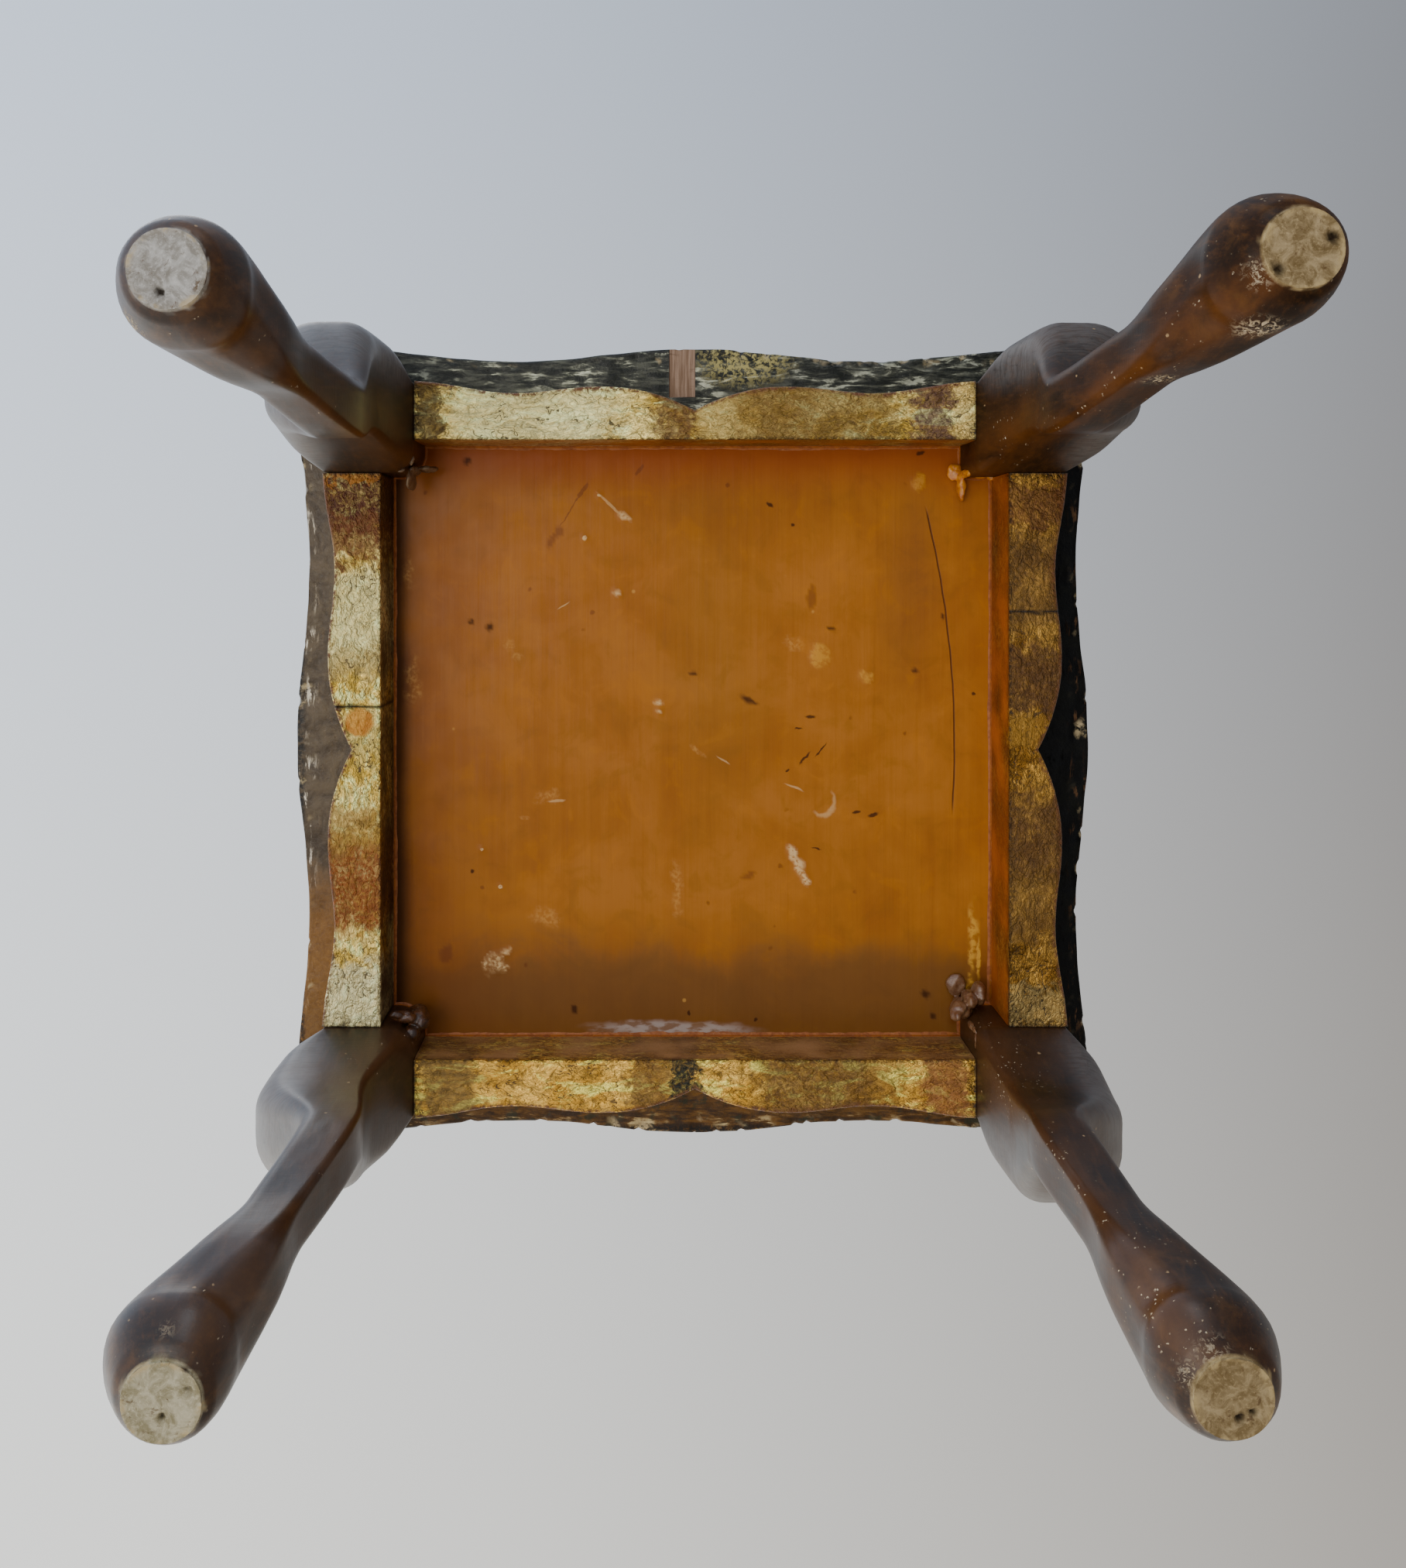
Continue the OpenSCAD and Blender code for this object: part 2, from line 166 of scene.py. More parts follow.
class Finish:
    # A material that is built step by step on the piece's Object coordinates.

    def __init__(self, name, roughness=0.5, **fixed):
        self.material = bpy.data.materials.new(name)
        self.material.use_nodes = True
        self.tree = self.material.node_tree
        self.shader = self.tree.nodes["Principled BSDF"]
        self.shader.inputs["Roughness"].default_value = roughness
        for socket, value in fixed.items():
            self.shader.inputs[socket.replace("_", " ")].default_value = value
        self.place = self.add("ShaderNodeTexCoord").outputs["Object"]
        self.splitPlace = self.add("ShaderNodeSeparateXYZ")
        self.put(self.place, self.splitPlace.inputs[0])
        self.x, self.y, self.z = self.splitPlace.outputs

    def add(self, kind, **settings):
        node = self.tree.nodes.new(kind)
        for key, value in settings.items():
            setattr(node, key, value)
        return node

    def put(self, value, socket):
        if isinstance(value, bpy.types.NodeSocket):
            self.tree.links.new(value, socket)
        elif isinstance(value, (tuple, list)) and len(value) == 3 and socket.type == "RGBA":
            socket.default_value = (*value, 1)
        else:
            socket.default_value = value

    def calc(self, operation, a, b=0.0, clamp=False):
        node = self.add("ShaderNodeMath", operation=operation, use_clamp=clamp)
        self.put(a, node.inputs[0])
        self.put(b, node.inputs[1])
        return node.outputs[0]

    def times(self, a, b):
        return self.calc("MULTIPLY", a, b)

    def plus(self, a, b):
        return self.calc("ADD", a, b)

    def less(self, a, b, clamp=False):
        return self.calc("SUBTRACT", a, b, clamp)

    def most(self, a, b):
        return self.calc("MAXIMUM", a, b)

    def sized(self, a):
        return self.calc("ABSOLUTE", a)

    def band(self, value, low, high, toLow=0.0, toHigh=1.0):
        node = self.add("ShaderNodeMapRange", interpolation_type="SMOOTHSTEP")
        self.put(value, node.inputs["Value"])
        for socket, number in zip(("From Min", "From Max", "To Min", "To Max"), (low, high, toLow, toHigh)):
            node.inputs[socket].default_value = number
        return node.outputs[0]

    def warp(self, scale=(1, 1, 1), move=(0, 0, 0), turn=0.0, kind="POINT", place=None):
        node = self.add("ShaderNodeMapping", vector_type=kind)
        self.put(place or self.place, node.inputs["Vector"])
        node.inputs["Location"].default_value = move
        node.inputs["Rotation"].default_value = (0, 0, turn)
        node.inputs["Scale"].default_value = scale
        return node.outputs[0]

    def cloud(self, size, detail=3.0, rough=0.55, distort=0.0, place=None, stretch=None):
        # Noise whose features are about size millimetres across.
        if stretch:
            place = self.warp(scale=stretch, place=place)
        node = self.add("ShaderNodeTexNoise")
        self.put(place or self.place, node.inputs["Vector"])
        node.inputs["Scale"].default_value = 1 / (size * mm)
        node.inputs["Detail"].default_value = detail
        node.inputs["Roughness"].default_value = rough
        node.inputs["Distortion"].default_value = distort
        return node.outputs["Fac"]

    def cells(self, size, feature="F1", place=None, randomness=1.0, out="Distance"):
        node = self.add("ShaderNodeTexVoronoi", feature=feature)
        self.put(place or self.place, node.inputs["Vector"])
        node.inputs["Scale"].default_value = 1 / (size * mm)
        node.inputs["Randomness"].default_value = randomness
        return node.outputs[out]

    def jitter(self, size, amount, place=None):
        # The place moved about by noise, to break up straight outlines.
        node = self.add("ShaderNodeTexNoise")
        self.put(place or self.place, node.inputs["Vector"])
        node.inputs["Scale"].default_value = 1 / (size * mm)
        shift = self.add("ShaderNodeVectorMath", operation="MULTIPLY_ADD")
        self.put(node.outputs["Color"], shift.inputs[0])
        shift.inputs[1].default_value = (amount * mm,) * 3
        self.put(place or self.place, shift.inputs[2])
        centre = self.add("ShaderNodeVectorMath", operation="SUBTRACT")
        self.put(shift.outputs[0], centre.inputs[0])
        centre.inputs[1].default_value = (amount * mm / 2,) * 3
        return centre.outputs[0]

    def mark(self, centre, half, turn=0.0, soft=0.25, place=None):
        # 1 inside an ellipse on the board, 0 outside; sizes in millimetres.
        local = self.warp(
            scale=(half[0] * mm, half[1] * mm, 1), move=(centre[0] * mm, centre[1] * mm, 0),
            turn=math.radians(turn), kind="TEXTURE", place=place)
        flat = self.add("ShaderNodeVectorMath", operation="MULTIPLY")
        self.put(local, flat.inputs[0])
        flat.inputs[1].default_value = (1, 1, 0)
        reach = self.add("ShaderNodeVectorMath", operation="LENGTH")
        self.put(flat.outputs[0], reach.inputs[0])
        return self.band(reach.outputs["Value"], 1 + soft, 1 - soft)

    def marks(self, rows, soft=0.25, place=None):
        total = None
        for centre, half, turn in rows:
            one = self.mark(centre, half, turn, soft, place)
            total = one if total is None else self.most(total, one)
        return total

    def own(self, name):
        node = self.add("ShaderNodeAttribute", attribute_name=name)
        return node.outputs["Fac"]

    def tint(self, share, a, b, mode="MIX"):
        node = self.add("ShaderNodeMix", data_type="RGBA", blend_type=mode)
        self.put(share, node.inputs["Factor"])
        self.put(a, node.inputs["A"])
        self.put(b, node.inputs["B"])
        return node.outputs["Result"]

    def lay(self, base, mask, share, over):
        # The colour "over" laid on the base where the mask is, as strongly as the share says.
        return self.tint(self.times(mask, share), base, over)

    def mixed(self, share, a, b):
        node = self.add("ShaderNodeMix", data_type="FLOAT")
        self.put(share, node.inputs["Factor"])
        self.put(a, node.inputs["A"])
        self.put(b, node.inputs["B"])
        return node.outputs["Result"]

    def relief(self, height, depth, strength=1.0, over=None):
        node = self.add("ShaderNodeBump")
        node.inputs["Strength"].default_value = strength
        node.inputs["Distance"].default_value = depth * mm
        self.put(height, node.inputs["Height"])
        if over:
            self.put(over, node.inputs["Normal"])
        return node.outputs[0]

    def wear(self, colour=None, roughness=None, metallic=None, normal=None):
        if colour:
            self.put(colour, self.shader.inputs["Base Color"])
        if roughness:
            self.put(roughness, self.shader.inputs["Roughness"])
        if metallic:
            self.put(metallic, self.shader.inputs["Metallic"])
        if normal:
            self.put(normal, self.shader.inputs["Normal"])
            self.put(normal, self.shader.inputs["Coat Normal"])
        return self.material


# ---- shaping helpers ----


def loft(shape, rings, closed=True):
    # Skins a row of rings by extruding the first ring's edges and moving each new ring into place.
    ring = [shape.verts.new(p) for p in rings[0]]
    edges = [shape.edges.new((ring[i], ring[i + 1])) for i in range(len(ring) - 1)]
    if closed:
        edges.append(shape.edges.new((ring[-1], ring[0])))
    for points in rings[1:]:
        before = list(ring)
        made = bmesh.ops.extrude_edge_only(shape, edges=edges)["geom"]
        edges = [g for g in made if isinstance(g, bmesh.types.BMEdge) and all(v not in before for v in g.verts)]
        fresh = {v for e in edges for v in e.verts}
        partner = {}
        for v in before:
            for e in v.link_edges:
                other = e.other_vert(v)
                if other in fresh:
                    partner[v] = other
        ring = [partner[v] for v in before]
        for v, p in zip(ring, points):
            v.co = p
        index = {v: i for i, v in enumerate(ring)}
        edges.sort(key=lambda e: tuple(sorted((index[e.verts[0]], index[e.verts[1]]))))
    return ring


def capEnds(shape):
    rims = [e for e in shape.edges if len(e.link_faces) == 1]
    bmesh.ops.holes_fill(shape, edges=rims, sides=0)


def facesOut(shape):
    bmesh.ops.recalc_face_normals(shape, faces=shape.faces)


def closeUp(shape):
    capEnds(shape)
    facesOut(shape)


def finishPiece(shape, name, material, smooth=40.0):
    mesh = bpy.data.meshes.new(name)
    shape.to_mesh(mesh)
    shape.free()
    mesh.materials.append(material)
    mesh.shade_smooth()
    mesh.set_sharp_from_angle(angle=math.radians(smooth))
    piece = bpy.data.objects.new(name, mesh)
    bpy.context.scene.collection.objects.link(piece)
    return piece


def ellipseReach(x, y, row, more=0.0):
    # How far out a point lies in the ellipse of a row of marks: 1 on its outline.
    (cx, cy), (a, b), turn = row
    c, n = math.cos(math.radians(turn)), math.sin(math.radians(turn))
    dx, dy = x - cx, y - cy
    return math.hypot((dx * c + dy * n) / (a + more), (dy * c - dx * n) / (b + more))


def note(piece, name, rule):
    # Writes a value of each point, worked out from its place, for the finish to read.
    values = piece.data.attributes.new(name, "FLOAT", "POINT")
    values.data.foreach_set("value", [rule(v.co) for v in piece.data.vertices])


def rough(p, size, seed=0.0):
    return noise.noise(Vector((p[0], p[1], p[2])) / (size * mm) + Vector((seed, seed * 1.7, -seed)))


def between(value, low, high):
    t = min(max((value - low) / (high - low), 0.0), 1.0)
    return t * t * (3 - 2 * t)


# ---- sizes shared with the frame ----

table = {
    "height": 205.0, "boardThick": 13.0, "railHigh": 30.0,
    "boardLong": 303.0, "boardWide": 300.0, "wave": 2.4, "cornerRound": 16.0,
    "frameX": 137.5, "frameY": 136.0, "post": 34.0, "postRound": 8.0, "railThick": 22.0,
}
underZ = table["height"] - table["boardThick"]
railZ = underZ - table["railHigh"]
boardX, boardY = table["boardLong"] / 2, table["boardWide"] / 2
innerX = table["frameX"] - table["railThick"]
innerY = table["frameY"] - table["railThick"]
postX = table["frameX"] - table["post"]
postY = table["frameY"] - table["post"]
corners = {
    # sign of x and y, outward wander of the foot, the knee and the pad, radius of the post's inner corner
    "front_left": ((-1, -1), ((-4.5, -2), (-3, 0.5), (1, 1.5)), 9.0),
    "front_right": ((1, -1), ((4.5, 4.5), (0, 0), (3, 0.5)), 2.0),
    "back_left": ((-1, 1), ((-0.5, 2), (0, -3.5), (-1.5, 4.5)), 10.0),
    "back_right": ((1, 1), ((-13.5, 1), (-6, 1), (2.5, 4.5)), 4.0),
}

# ---- finishes ----

# orange varnish paint of the board's underside, with drips, scratches and dirt, painted shade along the left rail
# and a painted highlight near the back rail

panelMarks = {
    "pale": [((-26.7, -87.2), (2.4, 1.5), 35), ((-36.1, -95.3), (0.7, 0.6), 0), ((-41.8, -78.6), (0.8, 1.0), 0),
             ((-29.4, -57.5), (1.4, 1.3), 0), ((-13.3, -14.8), (1.4, 1.1), 0), ((-12.9, -11.4), (0.9, 0.9), 0),
             ((-81.7, 42.1), (0.7, 0.6), 0), ((-74.3, 56.5), (0.8, 0.6), 0)],
    "faint": [((-70.9, -37.4), (2.4, 1.6), 20), ((-68.4, -32.2), (2.4, 1.6), 0), ((-65.2, 29.7), (1.6, 0.8), 5),
              ((-108.6, -27.3), (1.4, 5.2), 0), ((-107.1, -19.6), (2.0, 3.4), 20), ((-6.0, 58.0), (1.8, 9.0), 0),
              ((-57.0, 68.0), (4.5, 3.0), 0), ((-56.0, 22.0), (4.0, 1.6), -10), ((39.9, -37.2), (3.0, 2.0), 40),
              ((-110.0, -66.0), (1.2, 5.0), 0), ((2.0, 4.0), (3.2, 0.8), 38)],
    "run": [((108.6, 77.0), (1.5, 12.5), 0), ((107.0, 97.0), (1.0, 8.0), 6), ((110.8, 84.0), (0.8, 7.0), 0)],
    "thread": [((-31.8, -91.6), (6.2, 0.55), 42), ((39.4, 18.0), (3.6, 0.45), 24), ((-52.7, 23.1), (3.0, 0.5), -8),
               ((-50.0, -52.5), (2.4, 0.35), -30), ((12.0, 7.5), (2.8, 0.35), 38)],
    "worm": [((38.6, 43.4), (1.9, 3.0), -14), ((41.4, 48.4), (1.7, 3.4), -22), ((44.0, 53.2), (1.3, 2.6), -16)],
    "flake": [((-77.5, 84.3), (3.4, 1.5), -35), ((-73.3, 82.4), (4.2, 1.2), -38), ((-75.5, 87.8), (3.2, 2.0), -10)],
    "yellow": [((49.1, -33.0), (3.6, 4.5), 0), ((87.4, -100.0), (2.2, 3.2), 8), ((67.1, -25.0), (2.4, 1.8), 30)],
    "brown": [((-53.3, -79.0), (1.3, 5.2), 31), ((-42.4, -97.2), (0.75, 3.6), 34), ((46.3, -56.0), (1.8, 5.2), 6),
              ((-95.5, 82.5), (2.2, 3.4), 20), ((103.0, 104.0), (3.6, 7.0), 24),
              ((113.0, 92.5), (2.2, 6.0), 0), ((22.0, 52.0), (2.8, 1.2), -25),
              ((-47.0, -90.0), (0.28, 9.0), 33), ((-20.6, -105.0), (0.8, 2.6), 40)],
    "dark": [((-87.3, -108.2), (1.1, 1.6), 15), ((-78.8, -44.3), (1.2, 1.5), 35), ((-85.8, -46.6), (0.9, 1.0), 0),
             ((0.5, -26.3), (1.6, 1.1), 0), ((21.9, -15.8), (3.6, 0.9), 28), ((53.6, -43.5), (1.6, 0.9), 0),
             ((38.8, -83.7), (0.7, 0.6), 0), ((30.0, -91.7), (1.5, 0.8), 30), ((97.0, -48.1), (0.9, 0.9), 0),
             ((86.3, -27.3), (1.0, 1.0), 0), ((108.9, -18.4), (0.7, 0.6), 0), ((88.3, -111.7), (1.7, 0.8), -10),
             ((-85.3, 50.7), (0.8, 0.8), 0), ((-45.6, 104.0), (0.9, 1.6), 5), ((-1.5, 105.5), (0.5, 1.0), 0),
             ((43.5, 6.6), (3.0, 0.5), -48), ((49.8, 3.4), (3.2, 0.35), -50), ((36.8, 11.5), (1.0, 0.5), -35),
             ((48.0, 41.6), (1.8, 0.35), 8), ((63.5, 27.5), (1.5, 0.6), -10), ((70.0, 28.6), (2.0, 0.8), -12),
             ((90.5, 98.0), (1.5, 1.4), 0), ((93.2, 106.5), (0.9, 1.0), 0), ((24.5, 108.0), (0.6, 0.8), 0),
             ((45.6, -9.5), (2.0, 0.6), 0), ((41.0, -4.8), (1.5, 0.4), 8)],
}


def isThin(row):
    return min(row[1]) < 0.9


def drawn(name, soft, place):
    # Thin marks are drawn by the finish; wide ones are written on the panel's own points.
    thin = [row for row in panelMarks[name] if isThin(row)]
    wide = lacquer.own(name)
    return lacquer.most(wide, lacquer.marks(thin, soft, place)) if thin else wide


lacquer = Finish("panelLacquer", Coat_Weight=0.04, Coat_Roughness=0.18, Specular_IOR_Level=0.10)
streaks = lacquer.cloud(7, detail=6, rough=0.62, stretch=(1, 0.06, 1))
fineStreaks = lacquer.cloud(1.1, detail=4, rough=0.6, stretch=(1, 0.02, 1))
mottle = lacquer.cloud(38, detail=5, rough=0.6, distort=0.4)
ochre = lacquer.tint(lacquer.band(mottle, 0.3, 0.7), (0.280, 0.084, 0.0075), (0.355, 0.120, 0.0130))
ochre = lacquer.tint(lacquer.band(streaks, 0.35, 0.68, 0, 0.30), ochre, (0.40, 0.142, 0.014))
blotch = lacquer.cloud(13, detail=5, rough=0.62, distort=0.6)
ochre = lacquer.tint(lacquer.band(blotch, 0.50, 0.68, 0, 0.28), ochre, (0.20, 0.070, 0.006))
ochre = lacquer.tint(lacquer.band(blotch, 0.46, 0.32, 0, 0.25), ochre, (0.45, 0.150, 0.006))
ochre = lacquer.tint(lacquer.band(fineStreaks, 0.5, 0.75, 0, 0.14), ochre, (0.17, 0.045, 0.002))
frontDark = lacquer.band(lacquer.y, -0.092, -0.113)
ochre = lacquer.lay(ochre, frontDark, 0.7, (0.24, 0.036, 0.0008))
backDark = lacquer.band(lacquer.plus(lacquer.y, lacquer.times(mottle, 0.05)), 0.094, 0.116)
ochre = lacquer.lay(ochre, backDark, 0.75, (0.112, 0.046, 0.010))
# darker and redder towards the left rail: redder paint with painted shade of the left rail
leftRedAndShade = lacquer.band(lacquer.x, -0.062, -0.108)
ochre = lacquer.lay(ochre, leftRedAndShade, 0.35, (0.17, 0.038, 0.002))
leftShade = lacquer.band(lacquer.plus(lacquer.x, lacquer.times(mottle, 0.004)), -0.1055, -0.1128)
ochre = lacquer.lay(ochre, leftShade, 0.88, (0.030, 0.010, 0.002))
purple = lacquer.mark((84, -62), (9, 38), 4, 0.7, lacquer.jitter(22, 16))
ochre = lacquer.lay(ochre, purple, 0.35, (0.145, 0.045, 0.012))
grey = lacquer.mark((8, -35), (18, 55), 0, 0.8, lacquer.jitter(26, 22))
ochre = lacquer.lay(ochre, grey, 0.22, (0.19, 0.085, 0.010))
crumb = lacquer.jitter(2.2, 1.5)
spots = lacquer.band(lacquer.cells(16, place=lacquer.jitter(3, 2)), 0.075, 0.035)
spots = lacquer.times(spots, lacquer.band(lacquer.cloud(20, 2), 0.47, 0.56))
ochre = lacquer.lay(ochre, spots, 0.5, (0.10, 0.018, 0.001))
paleDots = lacquer.band(lacquer.cells(23, place=lacquer.warp(move=(0.31, 0.17, 0))), 0.045, 0.02)
paleDots = lacquer.times(paleDots, lacquer.band(lacquer.cloud(31, 1), 0.5, 0.55))
ochre = lacquer.lay(ochre, paleDots, 0.5, (0.60, 0.30, 0.06))
dark = drawn("dark", 0.35, crumb)
brown = drawn("brown", 0.2, crumb)
pale = drawn("pale", 0.3, crumb)
thread = lacquer.marks(panelMarks["thread"], 0.35, lacquer.jitter(5, 1.6))
worm = drawn("worm", 0.25, crumb)
flake = drawn("flake", 0.4, crumb)
yellow = lacquer.times(drawn("yellow", 0.12, crumb),
                      lacquer.band(lacquer.cloud(1.5, 4), 0.34, 0.58, 0.35, 1))
ring = lacquer.less(lacquer.mark((51.0, 24.2), (4.7, 5.6), 10, 0.12, crumb),
                    lacquer.mark((49.9, 22.9), (4.5, 5.3), 10, 0.12, crumb), clamp=True)
ochre = lacquer.lay(ochre, brown, 0.55, (0.13, 0.030, 0.004))
ochre = lacquer.lay(ochre, dark, 0.85, (0.035, 0.009, 0.002))
ochre = lacquer.lay(ochre, yellow, 0.5, (0.62, 0.30, 0.035))
# one long curved scratch near the right
bend = lacquer.add("ShaderNodeVectorMath", operation="LENGTH")
lacquer.put(lacquer.warp(move=(0.048, -0.001, -underZ * mm), scale=(1, 0.62, 1), place=lacquer.jitter(12, 0.8)),
            bend.inputs[0])
bendOff = lacquer.sized(lacquer.less(bend.outputs["Value"], 0.1495))
scratch = lacquer.band(bendOff, 0.00042, 0.00018)
scratch = lacquer.times(scratch, lacquer.band(lacquer.x, 0.080, 0.086))
scratch = lacquer.times(scratch, lacquer.band(lacquer.y, 0.030, 0.022))
scratch = lacquer.times(scratch, lacquer.band(lacquer.y, -0.092, -0.086))
ochre = lacquer.lay(ochre, scratch, 0.85, (0.06, 0.016, 0.004))
faint = lacquer.times(drawn("faint", 0.6, crumb),
                     lacquer.band(lacquer.cloud(1.2, 4), 0.40, 0.62, 0.15, 0.8))
ochre = lacquer.lay(ochre, faint, 0.42, (0.66, 0.34, 0.08))
run = lacquer.times(drawn("run", 0.4, crumb),
                   lacquer.band(lacquer.cloud(2.0, 4), 0.36, 0.56, 0.2, 1))
ochre = lacquer.lay(ochre, run, 0.75, (0.66, 0.34, 0.04))
# painted highlight: a pale streak near the back rail standing in for a window's reflection in the glossy paint
gloss = lacquer.mark((-8, 111.6), (28, 2.9), 1, 0.4, lacquer.jitter(9, 4.5))
gloss = lacquer.times(gloss, lacquer.band(lacquer.cloud(2.4, 4, stretch=(0.4, 1, 1)), 0.38, 0.56, 0.25, 1))
ochre = lacquer.lay(ochre, gloss, 0.6, (0.46, 0.40, 0.36))
cream = lacquer.tint(lacquer.cloud(0.9, 3), (0.68, 0.38, 0.13), (0.86, 0.64, 0.34))
pale = lacquer.times(pale, lacquer.band(lacquer.cloud(1.1, 3), 0.30, 0.50, 0.35, 1))
worm = lacquer.times(worm, lacquer.band(lacquer.cloud(1.3, 4), 0.36, 0.52, 0.25, 1))
bright = lacquer.most(lacquer.most(pale, worm), lacquer.times(ring, 0.45))
bright = lacquer.most(bright, lacquer.times(thread, 0.55))
flakeBits = lacquer.times(flake, lacquer.band(lacquer.cloud(1.6, 4), 0.42, 0.6, 0.25, 1))
bright = lacquer.most(bright, flakeBits)
ochre = lacquer.lay(ochre, bright, 0.7, cream)
panelRough = lacquer.mixed(lacquer.band(lacquer.cloud(14, 4, distort=0.3), 0.35, 0.7), 0.34, 0.5)
panelRough = lacquer.mixed(lacquer.most(dark, bright), panelRough, 0.75)
panelHeight = lacquer.plus(lacquer.times(fineStreaks, 0.5), lacquer.times(streaks, 0.5))
panelHeight = lacquer.plus(panelHeight, lacquer.times(bright, 2.2))
panelHeight = lacquer.less(panelHeight, lacquer.times(scratch, 2.0))
panelHeight = lacquer.plus(panelHeight, yellow)
panelHeight = lacquer.plus(panelHeight, lacquer.times(run, 1.5))
lacquer.wear(ochre, panelRough, None, lacquer.relief(panelHeight, 0.12, 0.6))
print("panel finish mixed")


def shaded(colour, gain):
    return [min(1.0, c * gain) for c in colour]


def giltFinish(name, along, seed, leafA, leafB, patina, patches, worn=0.5):
    # Crumpled leaf over red clay, painted lighter on the folds' crests and darker in their hollows as highlight and
    # shade. Patches are (place along the rail, half length, colour, strength).
    gilt = Finish(name, Specular_IOR_Level=0.3)
    lie = (0.42, 1, 1) if along == "x" else (1, 0.55, 1)
    moved = gilt.warp(move=(seed, seed * 0.37, 0))
    folded = gilt.jitter(4.0, 3.0, moved)
    tone = gilt.cloud(15, 4, 0.62, 0.6, moved)
    crust = gilt.cloud(2.0, 6, 0.72, 0.7, moved)
    folds = gilt.sized(gilt.less(gilt.cloud(4.2, 2, 0.5, 0.7, folded, lie), 0.5))
    smallFolds = gilt.sized(gilt.less(gilt.cloud(1.5, 2, 0.5, 0.8, moved, lie), 0.5))
    broad = gilt.cloud(6, 5, 0.68, 0.8, moved, lie)
    leaf = gilt.tint(gilt.band(tone, 0.36, 0.66), leafA, leafB)
    # painted highlight on the crests of the broad folds and painted shade in their hollows
    leaf = gilt.tint(gilt.band(broad, 0.50, 0.64, 0, 0.8), leaf, shaded(leafB, 1.6))
    leaf = gilt.tint(gilt.band(broad, 0.47, 0.34, 0, 0.7), leaf, shaded(leafA, 0.35))
    leaf = gilt.tint(gilt.band(crust, 0.44, 0.34, 0, 0.45), leaf, patina)
    ax = gilt.x if along == "x" else gilt.y
    wander = gilt.times(gilt.less(gilt.cloud(6, 4, 0.65, 0.6), 0.5), 0.026)
    ax = gilt.plus(ax, wander)
    bare = gilt.band(crust, 0.42, 0.32, 0, 0.6)
    whole = 1.0
    for centre, half, colour, strength in patches:
        off = gilt.sized(gilt.less(ax, centre * mm))
        patch = gilt.times(gilt.band(off, half * 1.1 * mm, half * 0.6 * mm), strength)
        patch = gilt.times(patch, gilt.band(crust, 0.42, 0.66, 1, 0.7))
        # each patch is painted lighter on the fold crests and darker in the hollows, as highlight and shade
        leaf = gilt.tint(patch, leaf, gilt.tint(broad, shaded(colour, 0.6), shaded(colour, 1.45)))
        bare = gilt.most(bare, gilt.times(patch, 0.8))
        if max(colour) < 0.3:
            whole = gilt.times(whole, gilt.less(1.0, gilt.times(patch, 0.7)))
    creases = gilt.times(gilt.band(folds, 0.016, 0.003), gilt.band(tone, 0.66, 0.50, 0.2, 1))
    hair = gilt.times(gilt.band(smallFolds, 0.016, 0.002), 0.75)
    creases = gilt.most(creases, gilt.times(hair, gilt.band(broad, 0.58 - worn * 0.1, 0.44)))
    creases = gilt.times(creases, whole)
    leaf = gilt.lay(leaf, creases, 0.9, patina)
    grime = gilt.times(gilt.own("border"), gilt.band(crust, 0.60, 0.40))
    leaf = gilt.lay(leaf, grime, 0.8, patina)
    # brown along the rails' outer rim: worn leaf, with painted shade on the rounded outer edge
    rimWearAndShade = gilt.times(gilt.own("rimWearAndShade"), gilt.band(crust, 0.40, 0.56))
    leaf = gilt.tint(rimWearAndShade, leaf, gilt.tint(tone, (0.085, 0.022, 0.005), (0.16, 0.060, 0.014)))
    seam = gilt.own("seam")
    leaf = gilt.tint(seam, leaf, (0.010, 0.005, 0.002))
    disc = gilt.own("disc")
    leaf = gilt.tint(gilt.times(disc, gilt.band(crust, 0.30, 0.42, 0.6, 1.0)), leaf,
                     gilt.tint(gilt.band(broad, 0.36, 0.62), (0.44, 0.155, 0.008), (0.66, 0.30, 0.04)))
    within = gilt.own("inside")
    # inner face: its paint, with painted shade on the left rail and painted light on the right
    leaf = gilt.tint(within, leaf, gilt.tint(gilt.cloud(9, 4), *insidePaintAndShade[name]))
    for mask in (creases, rimWearAndShade, seam, disc, within):
        bare = gilt.most(bare, mask)
    shine = gilt.mixed(bare, 0.90, 0.0)
    dull = gilt.mixed(gilt.band(crust, 0.38, 0.66), 0.42, 0.26)
    dull = gilt.mixed(bare, dull, 0.5)
    height = gilt.plus(gilt.band(folds, 0.0, 0.12), gilt.times(gilt.band(smallFolds, 0.0, 0.10), 0.45))
    height = gilt.plus(height, gilt.times(crust, 0.8))
    height = gilt.plus(height, gilt.times(broad, 1.6))
    height = gilt.mixed(within, height, gilt.times(gilt.cloud(4, 3), 0.5))
    return gilt.wear(leaf, dull, shine, gilt.relief(height, 0.5, 0.9))
